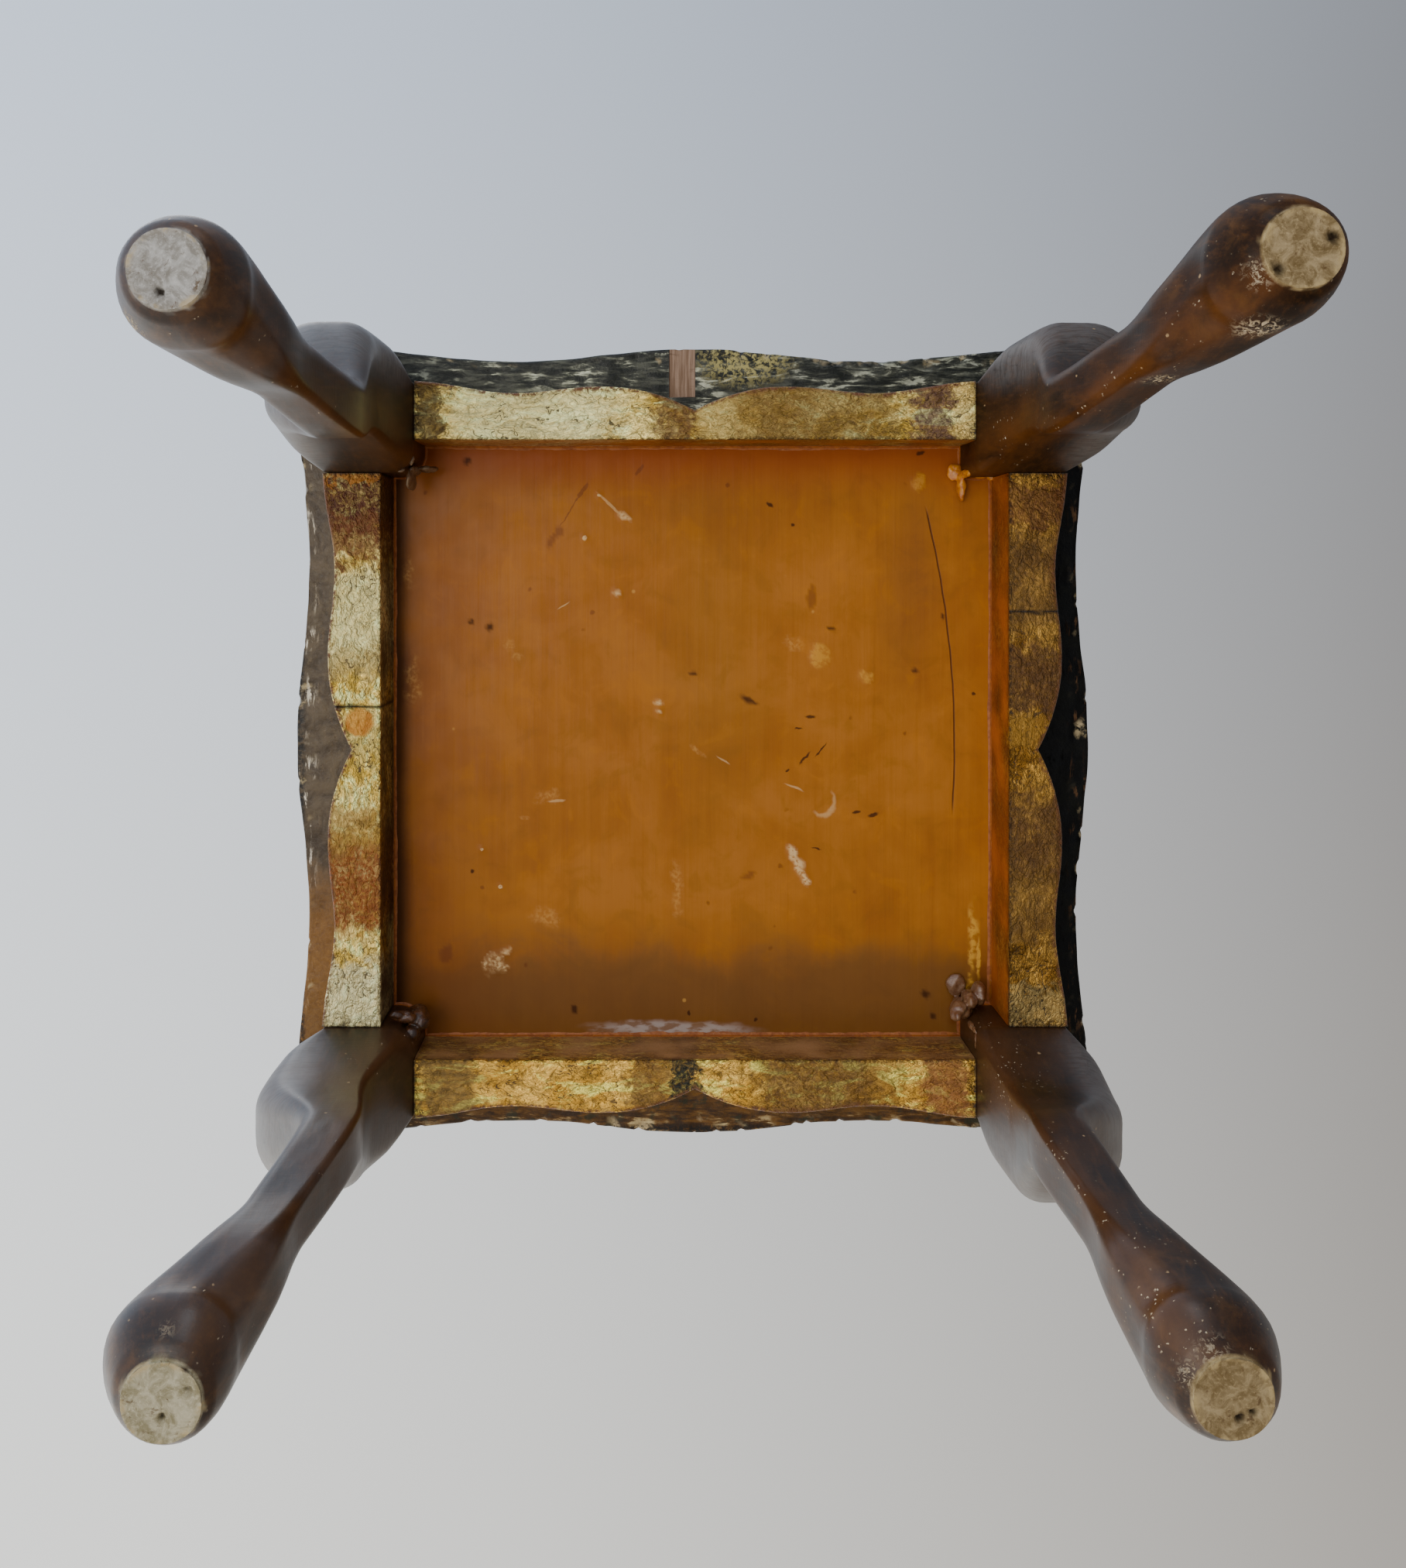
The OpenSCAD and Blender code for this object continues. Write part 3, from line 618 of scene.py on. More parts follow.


# paint on the rails' inner faces, darker and lighter: the left face's near black is dark paint with painted shade,
# the right face's bright orange is painted light
insidePaintAndShade = {
    "giltFront": ((0.20, 0.045, 0.002), (0.34, 0.10, 0.004)),
    "giltLeft": ((0.005, 0.002, 0.0004), (0.016, 0.005, 0.001)),
    "giltRight": ((0.30, 0.055, 0.002), (0.45, 0.11, 0.006)),
    "giltBack": ((0.24, 0.11, 0.035), (0.40, 0.21, 0.085)),
}
railFinish = {
    "front": giltFinish("giltFront", "x", 0.0, (0.60, 0.37, 0.055), (1.0, 0.76, 0.25), (0.030, 0.014, 0.002),
                        [(88, 9, (0.085, 0.030, 0.026), 0.9), (18, 30, (0.24, 0.125, 0.016), 0.7),
                         (-98, 6, (0.045, 0.018, 0.005), 0.85), (46, 34, (0.15, 0.075, 0.009), 0.85),
                         (-8, 8, (0.08, 0.022, 0.005), 0.8), (101, 5, (0.80, 0.50, 0.16), 0.7),
                         # the bright patch on the left half is a painted highlight, window glints on the leaf
                         (-58, 34, (1.0, 0.84, 0.36), 0.6)], 0.3),
    "left": giltFinish("giltLeft", "y", 1.3, (0.64, 0.40, 0.060), (1.0, 0.74, 0.24), (0.040, 0.018, 0.003),
                       # the bright patches at -48 and 92 are painted highlights, window glints on the leaf
                       [(-48, 22, (1.0, 0.84, 0.36), 0.6), (-92, 15, (0.075, 0.017, 0.003), 1.0),
                        (-101, 3, (0.38, 0.13, 0.006), 0.8), (-78, 9, (0.13, 0.036, 0.006), 0.9),
                        (-32, 6, (0.36, 0.22, 0.05), 0.6),
                        (-2, 7, (0.46, 0.38, 0.12), 0.5), (50, 19, (0.22, 0.058, 0.004), 1.0),
                        (30, 11, (0.26, 0.125, 0.020), 0.75), (92, 15, (1.0, 0.90, 0.46), 0.6)], 0.3),
    "right": giltFinish("giltRight", "y", 2.9, (0.20, 0.088, 0.011), (0.40, 0.21, 0.040), (0.014, 0.006, 0.001),
                        [(-90, 9, (0.085, 0.022, 0.003), 0.8), (-62, 22, (0.105, 0.048, 0.008), 0.75),
                         (-26, 14, (0.075, 0.028, 0.004), 0.9), (-6, 6, (0.26, 0.120, 0.006), 0.9),
                         (32, 18, (0.085, 0.034, 0.005), 0.85), (58, 15, (0.125, 0.058, 0.008), 0.75),
                         (95, 8, (0.36, 0.27, 0.10), 0.5)], 0.6),
    "back": giltFinish("giltBack", "x", 4.7, (0.54, 0.27, 0.032), (0.92, 0.54, 0.11), (0.036, 0.014, 0.003),
                       [(-90, 12, (0.17, 0.10, 0.026), 0.8), (-4, 6, (0.012, 0.011, 0.004), 1.0),
                        (-17, 9, (0.11, 0.050, 0.010), 0.8), (44, 24, (0.085, 0.034, 0.005), 0.85),
                        (68, 9, (0.16, 0.07, 0.009), 0.6), (92, 9, (0.22, 0.070, 0.018), 0.85)], 0.5),
}
print("gilt finishes mixed")

# dark varnish of the legs, with gold and raw wood showing where it is rubbed


def legFinish(name, seed, specks, warmth, soles, gloss):
    dark = Finish(name, Coat_Roughness=0.33, Coat_IOR=1.5, Specular_IOR_Level=gloss * 0.3)
    moved = dark.warp(move=(seed, -seed, 0))
    tone = dark.cloud(22, 5, 0.6, 0.5, moved)
    grain = dark.cloud(2.0, 5, 0.65, 0.2, moved, (1, 1, 0.09))
    fleck = dark.cloud(1.3, 4, 0.7, 0.4, moved)
    brush = dark.cloud(1.4, 3, 0.6, 0.3, moved, (0.25, 0.25, 1.6))
    colour = dark.tint(dark.band(tone, 0.35, 0.68), (0.010, 0.0040, 0.0012), (0.030, 0.0105, 0.0025))
    colour = dark.tint(dark.band(grain, 0.45, 0.72, 0, 0.45), colour, (0.065, 0.024, 0.005))
    colour = dark.tint(dark.band(fleck, 0.62, 0.70, 0, 0.75), colour, (0.004, 0.002, 0.001))
    arris = dark.own("arris")
    foot = dark.own("foot")
    rub = dark.times(arris, dark.band(dark.cloud(14, 4, 0.6, 0.4, moved, (1, 1, 0.35)), 0.22, 0.72))
    colour = dark.tint(dark.times(rub, 0.85), colour, warmth)
    gold = dark.times(dark.band(foot, 0.25, 0.9), dark.band(dark.cloud(11, 5, 0.65, 0.4, moved), 0.44, 0.74))
    colour = dark.lay(colour, gold, 0.34, (0.15, 0.062, 0.012))
    knee = dark.own("knee")
    # painted sheen: the knees' lighter grey-brown stands in for the surroundings' reflection in the varnish
    kneeSheen = dark.times(knee, dark.band(brush, 0.30, 0.62, 0.45, 1))
    colour = dark.lay(colour, kneeSheen, 0.6, (0.110, 0.096, 0.086))
    strokes = dark.times(knee, dark.band(dark.cloud(1.8, 4, 0.65, 0.6, moved, (1, 1, 0.22)), 0.42, 0.30))
    colour = dark.lay(colour, strokes, 0.4, (0.012, 0.006, 0.003))
    bits = dark.band(dark.cells(1.7, place=dark.jitter(1.2, 1.6, moved)), 0.24, 0.12)
    where = dark.times(dark.plus(dark.times(arris, 0.9), dark.times(foot, 0.45)),
                      dark.band(dark.cloud(6, 3, 0.6, 0.3, moved), 0.64 - specks, 0.76 - specks))
    chips = dark.times(bits, dark.calc("MINIMUM", where, 1.0))
    crumbs = dark.times(dark.own("crust"), dark.band(dark.cloud(1.9, 5, 0.72, 1.2, moved), 0.50, 0.57))
    chips = dark.most(chips, crumbs)
    colour = dark.tint(chips, colour, dark.tint(fleck, (0.30, 0.17, 0.05), (0.56, 0.50, 0.38)))
    nick = dark.times(dark.band(dark.cells(9.0, place=dark.jitter(2, 1.5, moved)), 0.07, 0.03), 0.8)
    colour = dark.tint(nick, colour, (0.30, 0.19, 0.09))
    # sawn face of the foot: raw end grain, dirty and pitted
    sole = dark.own("sole")
    raw = dark.tint(dark.band(dark.cloud(5, 5, 0.65, 0.8, moved), 0.35, 0.68), soles[0], soles[1])
    raw = dark.tint(dark.band(dark.cloud(1.0, 4, 0.7, 0.5, moved), 0.5, 0.72, 0, 0.5), raw, shaded(soles[1], 1.35))
    grimy = dark.band(dark.cloud(3.2, 4, 0.7, 0.6, moved), 0.58, 0.70, 0, 0.8)
    raw = dark.tint(grimy, raw, (0.085, 0.045, 0.018))
    raw = dark.tint(dark.own("pit"), raw, (0.014, 0.009, 0.005))
    rim = dark.times(dark.own("rim"), dark.band(dark.cloud(5, 3, 0.6, 0.4, moved), 0.48, 0.62, 0.05, 0.6))
    raw = dark.tint(rim, raw, (0.42, 0.30, 0.13))
    colour = dark.tint(sole, colour, raw)
    dull = dark.mixed(dark.band(tone, 0.4, 0.7), 0.42, 0.56)
    dull = dark.mixed(dark.most(chips, sole), dull, 0.85)
    height = dark.plus(dark.times(brush, 0.5), dark.times(grain, 0.5))
    height = dark.plus(height, dark.times(chips, 1.2))
    height = dark.plus(height, dark.times(sole, dark.times(fleck, 2.5)))
    material = dark.wear(colour, dull, None, dark.relief(height, 0.10, 0.7))
    coat = dark.mixed(dark.most(chips, sole), gloss, 0.0)
    dark.put(coat, dark.shader.inputs["Coat Weight"])
    return material


legCoats = {
    # specks, colour of the rubbed arris, end grain darker and lighter, gloss
    "front_left": (0.04, (0.070, 0.024, 0.004), ((0.20, 0.18, 0.15), (0.42, 0.40, 0.37)), 0.45),
    "front_right": (0.10, (0.095, 0.030, 0.005), ((0.13, 0.085, 0.035), (0.32, 0.235, 0.125)), 0.12),
    "back_left": (0.05, (0.060, 0.026, 0.009), ((0.22, 0.185, 0.10), (0.44, 0.385, 0.26)), 0.55),
    "back_right": (0.13, (0.070, 0.026, 0.007), ((0.14, 0.090, 0.035), (0.31, 0.225, 0.115)), 0.42),
}
legMaterials = {
    place: legFinish("varnish_" + place, 0.7 * (i + 1), *legCoats[place]) for i, place in enumerate(corners)
}
print("leg finishes mixed")

# the board's edge and overhang: each side has aged in its own way, and the right side's near black is dark paint
# with painted shade

edge = Finish("boardPaint", Coat_Roughness=0.22, Specular_IOR_Level=0.12)
edgeTone = edge.cloud(9, 5, 0.65, 0.6)
edgeFine = edge.cloud(1.8, 5, 0.7, 0.5)
acrossTurn = edge.calc("GREATER_THAN", edge.sized(edge.x), edge.sized(edge.y))
streakX = edge.cloud(2.6, 5, 0.68, 0.4, stretch=(0.22, 1, 1))
streakY = edge.cloud(2.6, 5, 0.68, 0.4, stretch=(1, 0.22, 1))
edgeStreak = edge.mixed(acrossTurn, streakX, streakY)
edgeCrumb = edge.jitter(5, 5)
edgeX = edge.calc("DIVIDE", edge.x, boardX * mm)
edgeY = edge.calc("DIVIDE", edge.y, boardY * mm)
isRight = edge.band(edge.less(edgeX, edge.sized(edgeY)), -0.01, 0.01)
isLeft = edge.band(edge.less(edge.times(edgeX, -1), edge.sized(edgeY)), -0.01, 0.01)
isBack = edge.band(edge.less(edgeY, edge.sized(edgeX)), -0.01, 0.01)
green = edge.tint(edge.band(edgeStreak, 0.40, 0.66), (0.008, 0.009, 0.006), (0.085, 0.085, 0.062))
silver = edge.times(edge.band(edgeStreak, 0.53, 0.61), edge.band(edge.cloud(12, 3), 0.42, 0.60))
rimSilver = edge.times(silver, edge.own("rimZone"))
green = edge.lay(green, silver, 0.85, (0.46, 0.46, 0.34))
goldBits = edge.times(edge.mark((20, -148), (16, 9), 0, 0.5, edgeCrumb), edge.band(edgeFine, 0.42, 0.56))
green = edge.lay(green, goldBits, 0.85, (0.46, 0.38, 0.13))
taupe = edge.tint(edge.band(edgeTone, 0.36, 0.66), (0.040, 0.024, 0.010), (0.100, 0.070, 0.040))
taupe = edge.lay(taupe, rimSilver, 0.85, (0.62, 0.55, 0.44))
leftEnd = edge.band(edge.plus(edge.y, edge.times(edgeTone, 0.03)), 0.058, 0.085)
rust = edge.tint(edgeFine, (0.070, 0.022, 0.005), (0.30, 0.14, 0.025))
taupe = edge.lay(taupe, leftEnd, 0.85, rust)
# right side: near-black paint with painted shade, as if in the rails' shadow
blackAndShade = edge.tint(edge.band(edgeTone, 0.45, 0.7), (0.0006, 0.0005, 0.0003), (0.004, 0.004, 0.002))
blackAndShade = edge.lay(blackAndShade, rimSilver, 0.6, (0.20, 0.10, 0.045))
moss = edge.tint(edge.band(edgeStreak, 0.38, 0.64), (0.034, 0.014, 0.002), (0.135, 0.058, 0.007))
moss = edge.tint(edge.times(edge.band(edge.cloud(6, 3), 0.56, 0.64), 0.6), moss, (0.018, 0.024, 0.010))
moss = edge.lay(moss, rimSilver, 0.8, (0.58, 0.44, 0.22))
under = edge.tint(isRight, green, blackAndShade)
under = edge.tint(isLeft, under, taupe)
under = edge.tint(isBack, under, moss)
chip = edge.own("chip")
under = edge.tint(edge.times(chip, edge.band(edgeFine, 0.36, 0.5)), under,
                  edge.tint(edgeTone, (0.62, 0.50, 0.32), (0.42, 0.30, 0.11)))
blackLine = edge.times(edge.own("lip"), edge.band(edgeFine, 0.62, 0.45))
under = edge.lay(under, blackLine, 0.9, (0.005, 0.004, 0.003))
# bare wood where a strip came off
bare = edge.own("bare")
woodGrain = edge.cloud(0.8, 5, 0.65, 0.1, stretch=(1, 0.05, 1))
bareWood = edge.tint(edge.band(woodGrain, 0.35, 0.68), (0.20, 0.120, 0.075), (0.36, 0.24, 0.17))
under = edge.tint(bare, under, bareWood)
# side and top of the board: dark green over gilding, gold line inside the border
topSide = edge.own("above")
upper = edge.tint(edge.band(edge.cloud(18, 5, 0.6, 0.5), 0.36, 0.66), (0.018, 0.030, 0.018), (0.045, 0.062, 0.036))
upper = edge.tint(edge.times(edge.band(edgeFine, 0.60, 0.70), 0.5), upper, (0.20, 0.15, 0.06))
sideGold = edge.times(edge.own("side"), edge.band(edge.cloud(7, 5, 0.7, 0.6), 0.46, 0.62))
goldLine = edge.times(edge.own("line"), edge.band(edgeFine, 0.34, 0.48))
leafHere = edge.most(sideGold, goldLine)
upper = edge.tint(leafHere, upper, edge.tint(edgeTone, (0.34, 0.19, 0.040), (0.56, 0.37, 0.11)))
paint = edge.tint(topSide, under, upper)
leafShine = edge.times(leafHere, topSide)
edgeRough = edge.mixed(edge.band(edgeTone, 0.35, 0.7), 0.28, 0.5)
edgeRough = edge.mixed(bare, edgeRough, 0.85)
edgeMetal = edge.times(leafShine, 0.8)
underLeaf = edge.times(edge.times(silver, 0.6), edge.less(1.0, topSide))
edgeMetal = edge.most(edgeMetal, underLeaf)
edgeHeight = edge.plus(edge.times(edgeFine, 0.9), edge.times(edgeTone, 1.2))
edgeHeight = edge.mixed(bare, edgeHeight, edge.times(woodGrain, 0.6))
edge.wear(paint, edgeRough, edgeMetal, edge.relief(edgeHeight, 0.30, 0.7))
coatEdge = edge.mixed(edge.most(bare, edge.times(isRight, 0.9)), 0.22, 0.0)
edge.put(coatEdge, edge.shader.inputs["Coat Weight"])
boardPaint = edge.material


def glueFinish(name, thin, thick, roughness, coat=0.2):
    glue = Finish(name, Coat_Weight=coat, Coat_Roughness=0.14, Subsurface_Weight=0.12)
    glue.shader.inputs["Subsurface Radius"].default_value = (0.004, 0.0015, 0.0006)
    tone = glue.cloud(3.0, 5, 0.65, 0.8)
    crumbs = glue.cloud(0.8, 4, 0.7, 0.4)
    colour = glue.tint(glue.band(tone, 0.35, 0.65), thin, thick)
    colour = glue.tint(glue.band(crumbs, 0.62, 0.72, 0, 0.35), colour, (0.60, 0.42, 0.24))
    dull = glue.mixed(glue.band(tone, 0.4, 0.65), roughness, roughness + 0.25)
    return glue.wear(colour, dull, None, glue.relief(crumbs, 0.25, 0.6))


beadFinish = glueFinish("orangeBead", (0.32, 0.085, 0.002), (0.20, 0.045, 0.001), 0.5, 0.0)
glueMaterials = {
    "front_left": glueFinish("crustGlue", (0.060, 0.022, 0.006), (0.16, 0.095, 0.045), 0.5),
    "front_right": glueFinish("amberGlue", (0.58, 0.22, 0.012), (0.38, 0.10, 0.003), 0.2),
    "back_left": glueFinish("brownGlue", (0.085, 0.030, 0.009), (0.022, 0.008, 0.003), 0.25),
    "back_right": glueFinish("milkGlue", (0.20, 0.105, 0.050), (0.11, 0.036, 0.008), 0.25, 0.4),
}

peg = Finish("dowelWood", 0.6)
pegGrain = peg.cloud(1.2, 5, 0.6, 0.2, stretch=(0.2, 0.2, 1))
pegColour = peg.tint(peg.band(pegGrain, 0.35, 0.7), (0.52, 0.36, 0.20), (0.68, 0.52, 0.33))
peg.wear(pegColour, None, None, peg.relief(pegGrain, 0.1, 0.5))
for name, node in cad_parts.items():
    if "dowel" in name:
        node.data.materials.clear()
        node.data.materials.append(peg.material)
print("edge, glue and dowel finishes mixed")

# ---- board ----

board = {"step": 1.6, "chipSize": 5.5, "chipDeep": 1.0, "topRound": 3.2, "footRound": 1.0,
         "patch": (-4.0, 10.0, 19.0, 1.0), "lineAt": (17.0, 19.5)}


def boardOutline():
    cx = boardX + table["wave"] - table["cornerRound"]
    cy = boardY + table["wave"] - table["cornerRound"]
    patchMiddle, patchWide = board["patch"][:2]
    left, right = patchMiddle - patchWide / 2, patchMiddle + patchWide / 2
    stepsX = sorted([i * board["step"] - cx for i in range(int(2 * cx / board["step"]) + 1)]
                    + [left - 0.1, left + 0.1, right - 0.1, right + 0.1])
    stepsY = [i * board["step"] - cy for i in range(int(2 * cy / board["step"]) + 1)]
    swell = lambda t: table["wave"] * math.cos(2 * math.pi * t)
    points = [(boardX + swell(y / cy), y) for y in stepsY]
    arc = [(math.cos(math.radians(a)), math.sin(math.radians(a))) for a in range(0, 91, 5)]
    r = table["cornerRound"]
    points += [(cx + r * c, cy + r * s) for c, s in arc]
    points += [(x, boardY + swell(x / cx)) for x in reversed(stepsX)]
    points += [(-cx - r * s, cy + r * c) for c, s in arc]
    points += [(-boardX - swell(y / cy), y) for y in reversed(stepsY)]
    points += [(-cx - r * c, -cy - r * s) for c, s in arc]
    points += [(x, -boardY - swell(x / cx)) for x in stepsX]
    points += [(cx + r * s, -cy - r * c) for c, s in arc]
    clean = []
    for p in points:
        if not clean or math.dist(p, clean[-1]) > 0.05:
            clean.append(p)
    return clean


def inward(p, d):
    return [c - math.copysign(d * min(abs(c / half), 1) ** 4, c / half) for c, half in zip(p, (boardX, boardY))]


outline = boardOutline()
boardRings = []
topRound, footRound = board["topRound"], board["footRound"]
# rows of points from the underside round the edge to the top: distance in from the edge, and height
profile = [(d, underZ) for d in (27, 25, 23, 21, 19.2, 18.8, 17, 15.5, 14, 12.5, 11, 9.5, 8, 6.5, 5, 3.8, 2.6, 1.7)]
profile += [(footRound * (1 - math.sin(a)), underZ + footRound * (1 - math.cos(a)))
            for a in (0.0, 0.4, 0.8, 1.2, math.pi / 2)]
profile += [(0, underZ + z) for z in (2.0, 3.2, 4.4, 5.6, 6.8, 8.0, 9.0)]
profile += [(topRound * (1 - math.cos(a)), table["height"] - topRound * (1 - math.sin(a)))
            for a in (0.0, 0.32, 0.64, 0.96, 1.28, math.pi / 2)]
profile += [(d, table["height"]) for d in (4.5, 6.5, 9, 12, 15, 16.8, 17.2, 19.3, 19.7, 22, 26)]
for d, z in profile:
    boardRings.append([Vector([c * mm for c in (*inward(p, d), z)]) for p in outline])
shape = bmesh.new()
loft(shape, boardRings)
closeUp(shape)


def chipAt(p):
    # How deep the rim is chipped here, 0 to 1.
    here = rough((p[0], p[1], 0), board["chipSize"], 3.1) + 0.5 * rough((p[0], p[1], 0), 2.0, 8.2)
    rimNear = between(p[2], (underZ + 3.5) * mm, underZ * mm)
    return between(here, 0.30, 0.62) * rimNear


def inPatch(p):
    middle, wide, long, deep = board["patch"]
    return (abs(p[0] - middle * mm) < wide / 2 * mm
            and p[1] < (-boardY - table["wave"] + long) * mm and p[2] < (underZ + 0.99) * mm)


for v in shape.verts:
    p = v.co.copy()
    reach = max(abs(p.x) / (boardX * mm), abs(p.y) / (boardY * mm))
    edgeNear = between(reach, 0.93, 0.985)
    chipped = chipAt(p) * edgeNear
    flatIn = Vector((-p.x, -p.y, 0)).normalized()
    v.co += flatIn * (0.35 + 0.35 * rough(p, 11, 1.0)) * mm * edgeNear
    v.co += flatIn * chipped * board["chipDeep"] * mm
    v.co.z += chipped * 0.5 * mm
    if p.z < (underZ + 0.5) * mm:
        v.co.z += (0.22 + 0.22 * rough(p, 6, 4.4) + 0.12 * rough(p, 2.4, 6.6)) * mm
    if p.z > (table["height"] - 0.5) * mm:
        v.co.z -= (0.10 + 0.10 * rough(p, 30, 2.2)) * mm
    if inPatch(p):
        v.co.z = (underZ + board["patch"][3]) * mm + 0.05 * rough(p, 1.5, 5.5) * mm
boardPiece = finishPiece(shape, "boardWorn", boardPaint, 35)
lineIn, lineOut = board["lineAt"]


def rimReach(co):
    # Distance in from the board's edge, in millimetres, near enough for painting.
    return min(boardX - abs(co.x) / mm, boardY - abs(co.y) / mm)


note(boardPiece, "chip", lambda co: chipAt(co) * between(rimReach(co), 6.0, 1.0))
note(boardPiece, "rimZone", lambda co: between(rimReach(co), 7.0, 2.5))
note(boardPiece, "lip", lambda co: between(rimReach(co), 1.6, 0.2)
     * between(co.z, (underZ + 3) * mm, (underZ + 1) * mm))
note(boardPiece, "bare", lambda co: 1.0 if inPatch((co.x, co.y, (co.z - 0.0003))) and co.z > (underZ + 0.8) * mm
     and co.z < (underZ + 1.2) * mm else 0.0)
note(boardPiece, "above", lambda co: between(co.z, (underZ + 0.9) * mm, (underZ + 2.2) * mm))
note(boardPiece, "side", lambda co: between(co.z, (underZ + 1.5) * mm, (underZ + 3) * mm)
     * between(rimReach(co), 5.5, 2.0))
note(boardPiece, "line", lambda co: (1.0 if lineIn - 0.4 < rimReach(co) < lineOut + 0.4 else 0.0)
     * between(co.z, (table["height"] - 1.5) * mm, (table["height"] - 0.5) * mm))
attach(boardPiece, "root")
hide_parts("board")
print("board made")

# ---- painted panel between the rails ----

panel = {"cells": 220, "thick": 0.35, "streak": 0.035, "drop": 0.3}
shape = bmesh.new()
bmesh.ops.create_grid(shape, x_segments=panel["cells"], y_segments=panel["cells"], size=1.0)
halfX, halfY = (innerX + 0.4) * mm, (innerY + 0.4) * mm
bmesh.ops.scale(shape, vec=(halfX, halfY, 1), verts=shape.verts)
drops = panelMarks["pale"] + panelMarks["worm"] + panelMarks["flake"] + panelMarks["yellow"]


def dropAt(x, y):
    near = [row for row in drops if abs(x / mm - row[0][0]) < 9 and abs(y / mm - row[0][1]) < 9]
    return max([between(ellipseReach(x / mm, y / mm, row, 0.5), 1.25, 0.4) for row in near] or [0.0])


for v in shape.verts:
    p = v.co
    ridges = rough((p.x * 9, p.y * 0.35, 0), 9, 1.4) + 0.5 * rough((p.x * 22, p.y * 0.5, 0), 9, 2.4)
    sag = 0.12 * rough((p.x, p.y, 0), 60, 7.7)
    lift = panel["thick"] + panel["streak"] * ridges + sag + panel["drop"] * dropAt(p.x, p.y)
    v.co.z = (underZ - lift) * mm
rim = [e for e in shape.edges if len(e.link_faces) == 1]
walls = bmesh.ops.extrude_edge_only(shape, edges=rim)["geom"]
for v in [g for g in walls if isinstance(g, bmesh.types.BMVert)]:
    v.co.z = (underZ + 0.6) * mm
closeUp(shape)
panelPiece = finishPiece(shape, "panelPaint", lacquer.material, 60)


def coverOf(rows, soft, wander):
    # How far a point lies inside the listed ellipses, with a wandering outline.
    def rule(co):
        x = co.x / mm + wander * rough(co, 3.2, 3.3)
        y = co.y / mm + wander * rough(co, 3.2, 8.1)
        near = [row for row in rows if max(abs(x - row[0][0]), abs(y - row[0][1])) < max(row[1]) * 1.7]
        return max([between(ellipseReach(x, y, row), 1 + soft, 1 - soft) for row in near] or [0.0])
    return rule


# softness of the outline and how far it wanders, in millimetres
markEdges = {"dark": (0.35, 0.8), "brown": (0.2, 1.2), "pale": (0.3, 1.2), "worm": (0.25, 1.2),
             "flake": (0.4, 3.0), "yellow": (0.15, 1.8), "faint": (0.6, 2.6), "run": (0.4, 2.0)}
for name, (soft, wander) in markEdges.items():
    note(panelPiece, name, coverOf([row for row in panelMarks[name] if not isThin(row)], soft, wander))
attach(panelPiece, "root")
print("panel made")

# ---- rails ----

rail = {"steps": 220, "dip": 4.4, "lobe": 2.0, "cusp": 10.8, "bowWide": 66.0, "endGap": 0.15,
        "footRound": 1.2, "innerRound": 0.7, "wander": 0.28, "crumple": 0.16}
crack = {"left": (-15.8, 0.45, 0.9), "right": (-50.8, 0.2, 0.4)}  # place along y, width, depth
discs = {"left": ((-123.5, -10.1), 5.2)}  # drop of orange paint: middle and radius


def bow(t, halfLong):
    lobeAt = rail["bowWide"] / 2 / halfLong
    a = abs(t)
    if a >= lobeAt:
        u = (1 - a) / (1 - lobeAt)
        return rail["lobe"] * u + (rail["dip"] - rail["lobe"] / 2) * math.sin(math.pi * u) ** 2
    return rail["lobe"] + (rail["cusp"] - rail["lobe"]) * (1 - a / lobeAt) ** 2


def spaced(a, b, count):
    return [a + (b - a) * i / count for i in range(count)]


def railSection(outer):
    # Points round the rail's section: y from outer (negative) to 0, z from 0 to the rail's height.
    high, r, q = table["railHigh"], rail["footRound"], rail["innerRound"]
    points = [(outer, z) for z in spaced(high, r, 14)]
    points += [(outer + r * (1 - math.cos(a)), r * (1 - math.sin(a))) for a in (0, 0.4, 0.8, 1.2)]
    points += [(y, 0) for y in spaced(outer + r, -q, 20)]
    points += [(-q + q * math.sin(a), q * (1 - math.cos(a))) for a in (0, 0.5, 1.0)]
    points += [(0, z) for z in spaced(q, high, 12)]
    points += [(y, high) for y in spaced(0, outer, 5)]
    return points


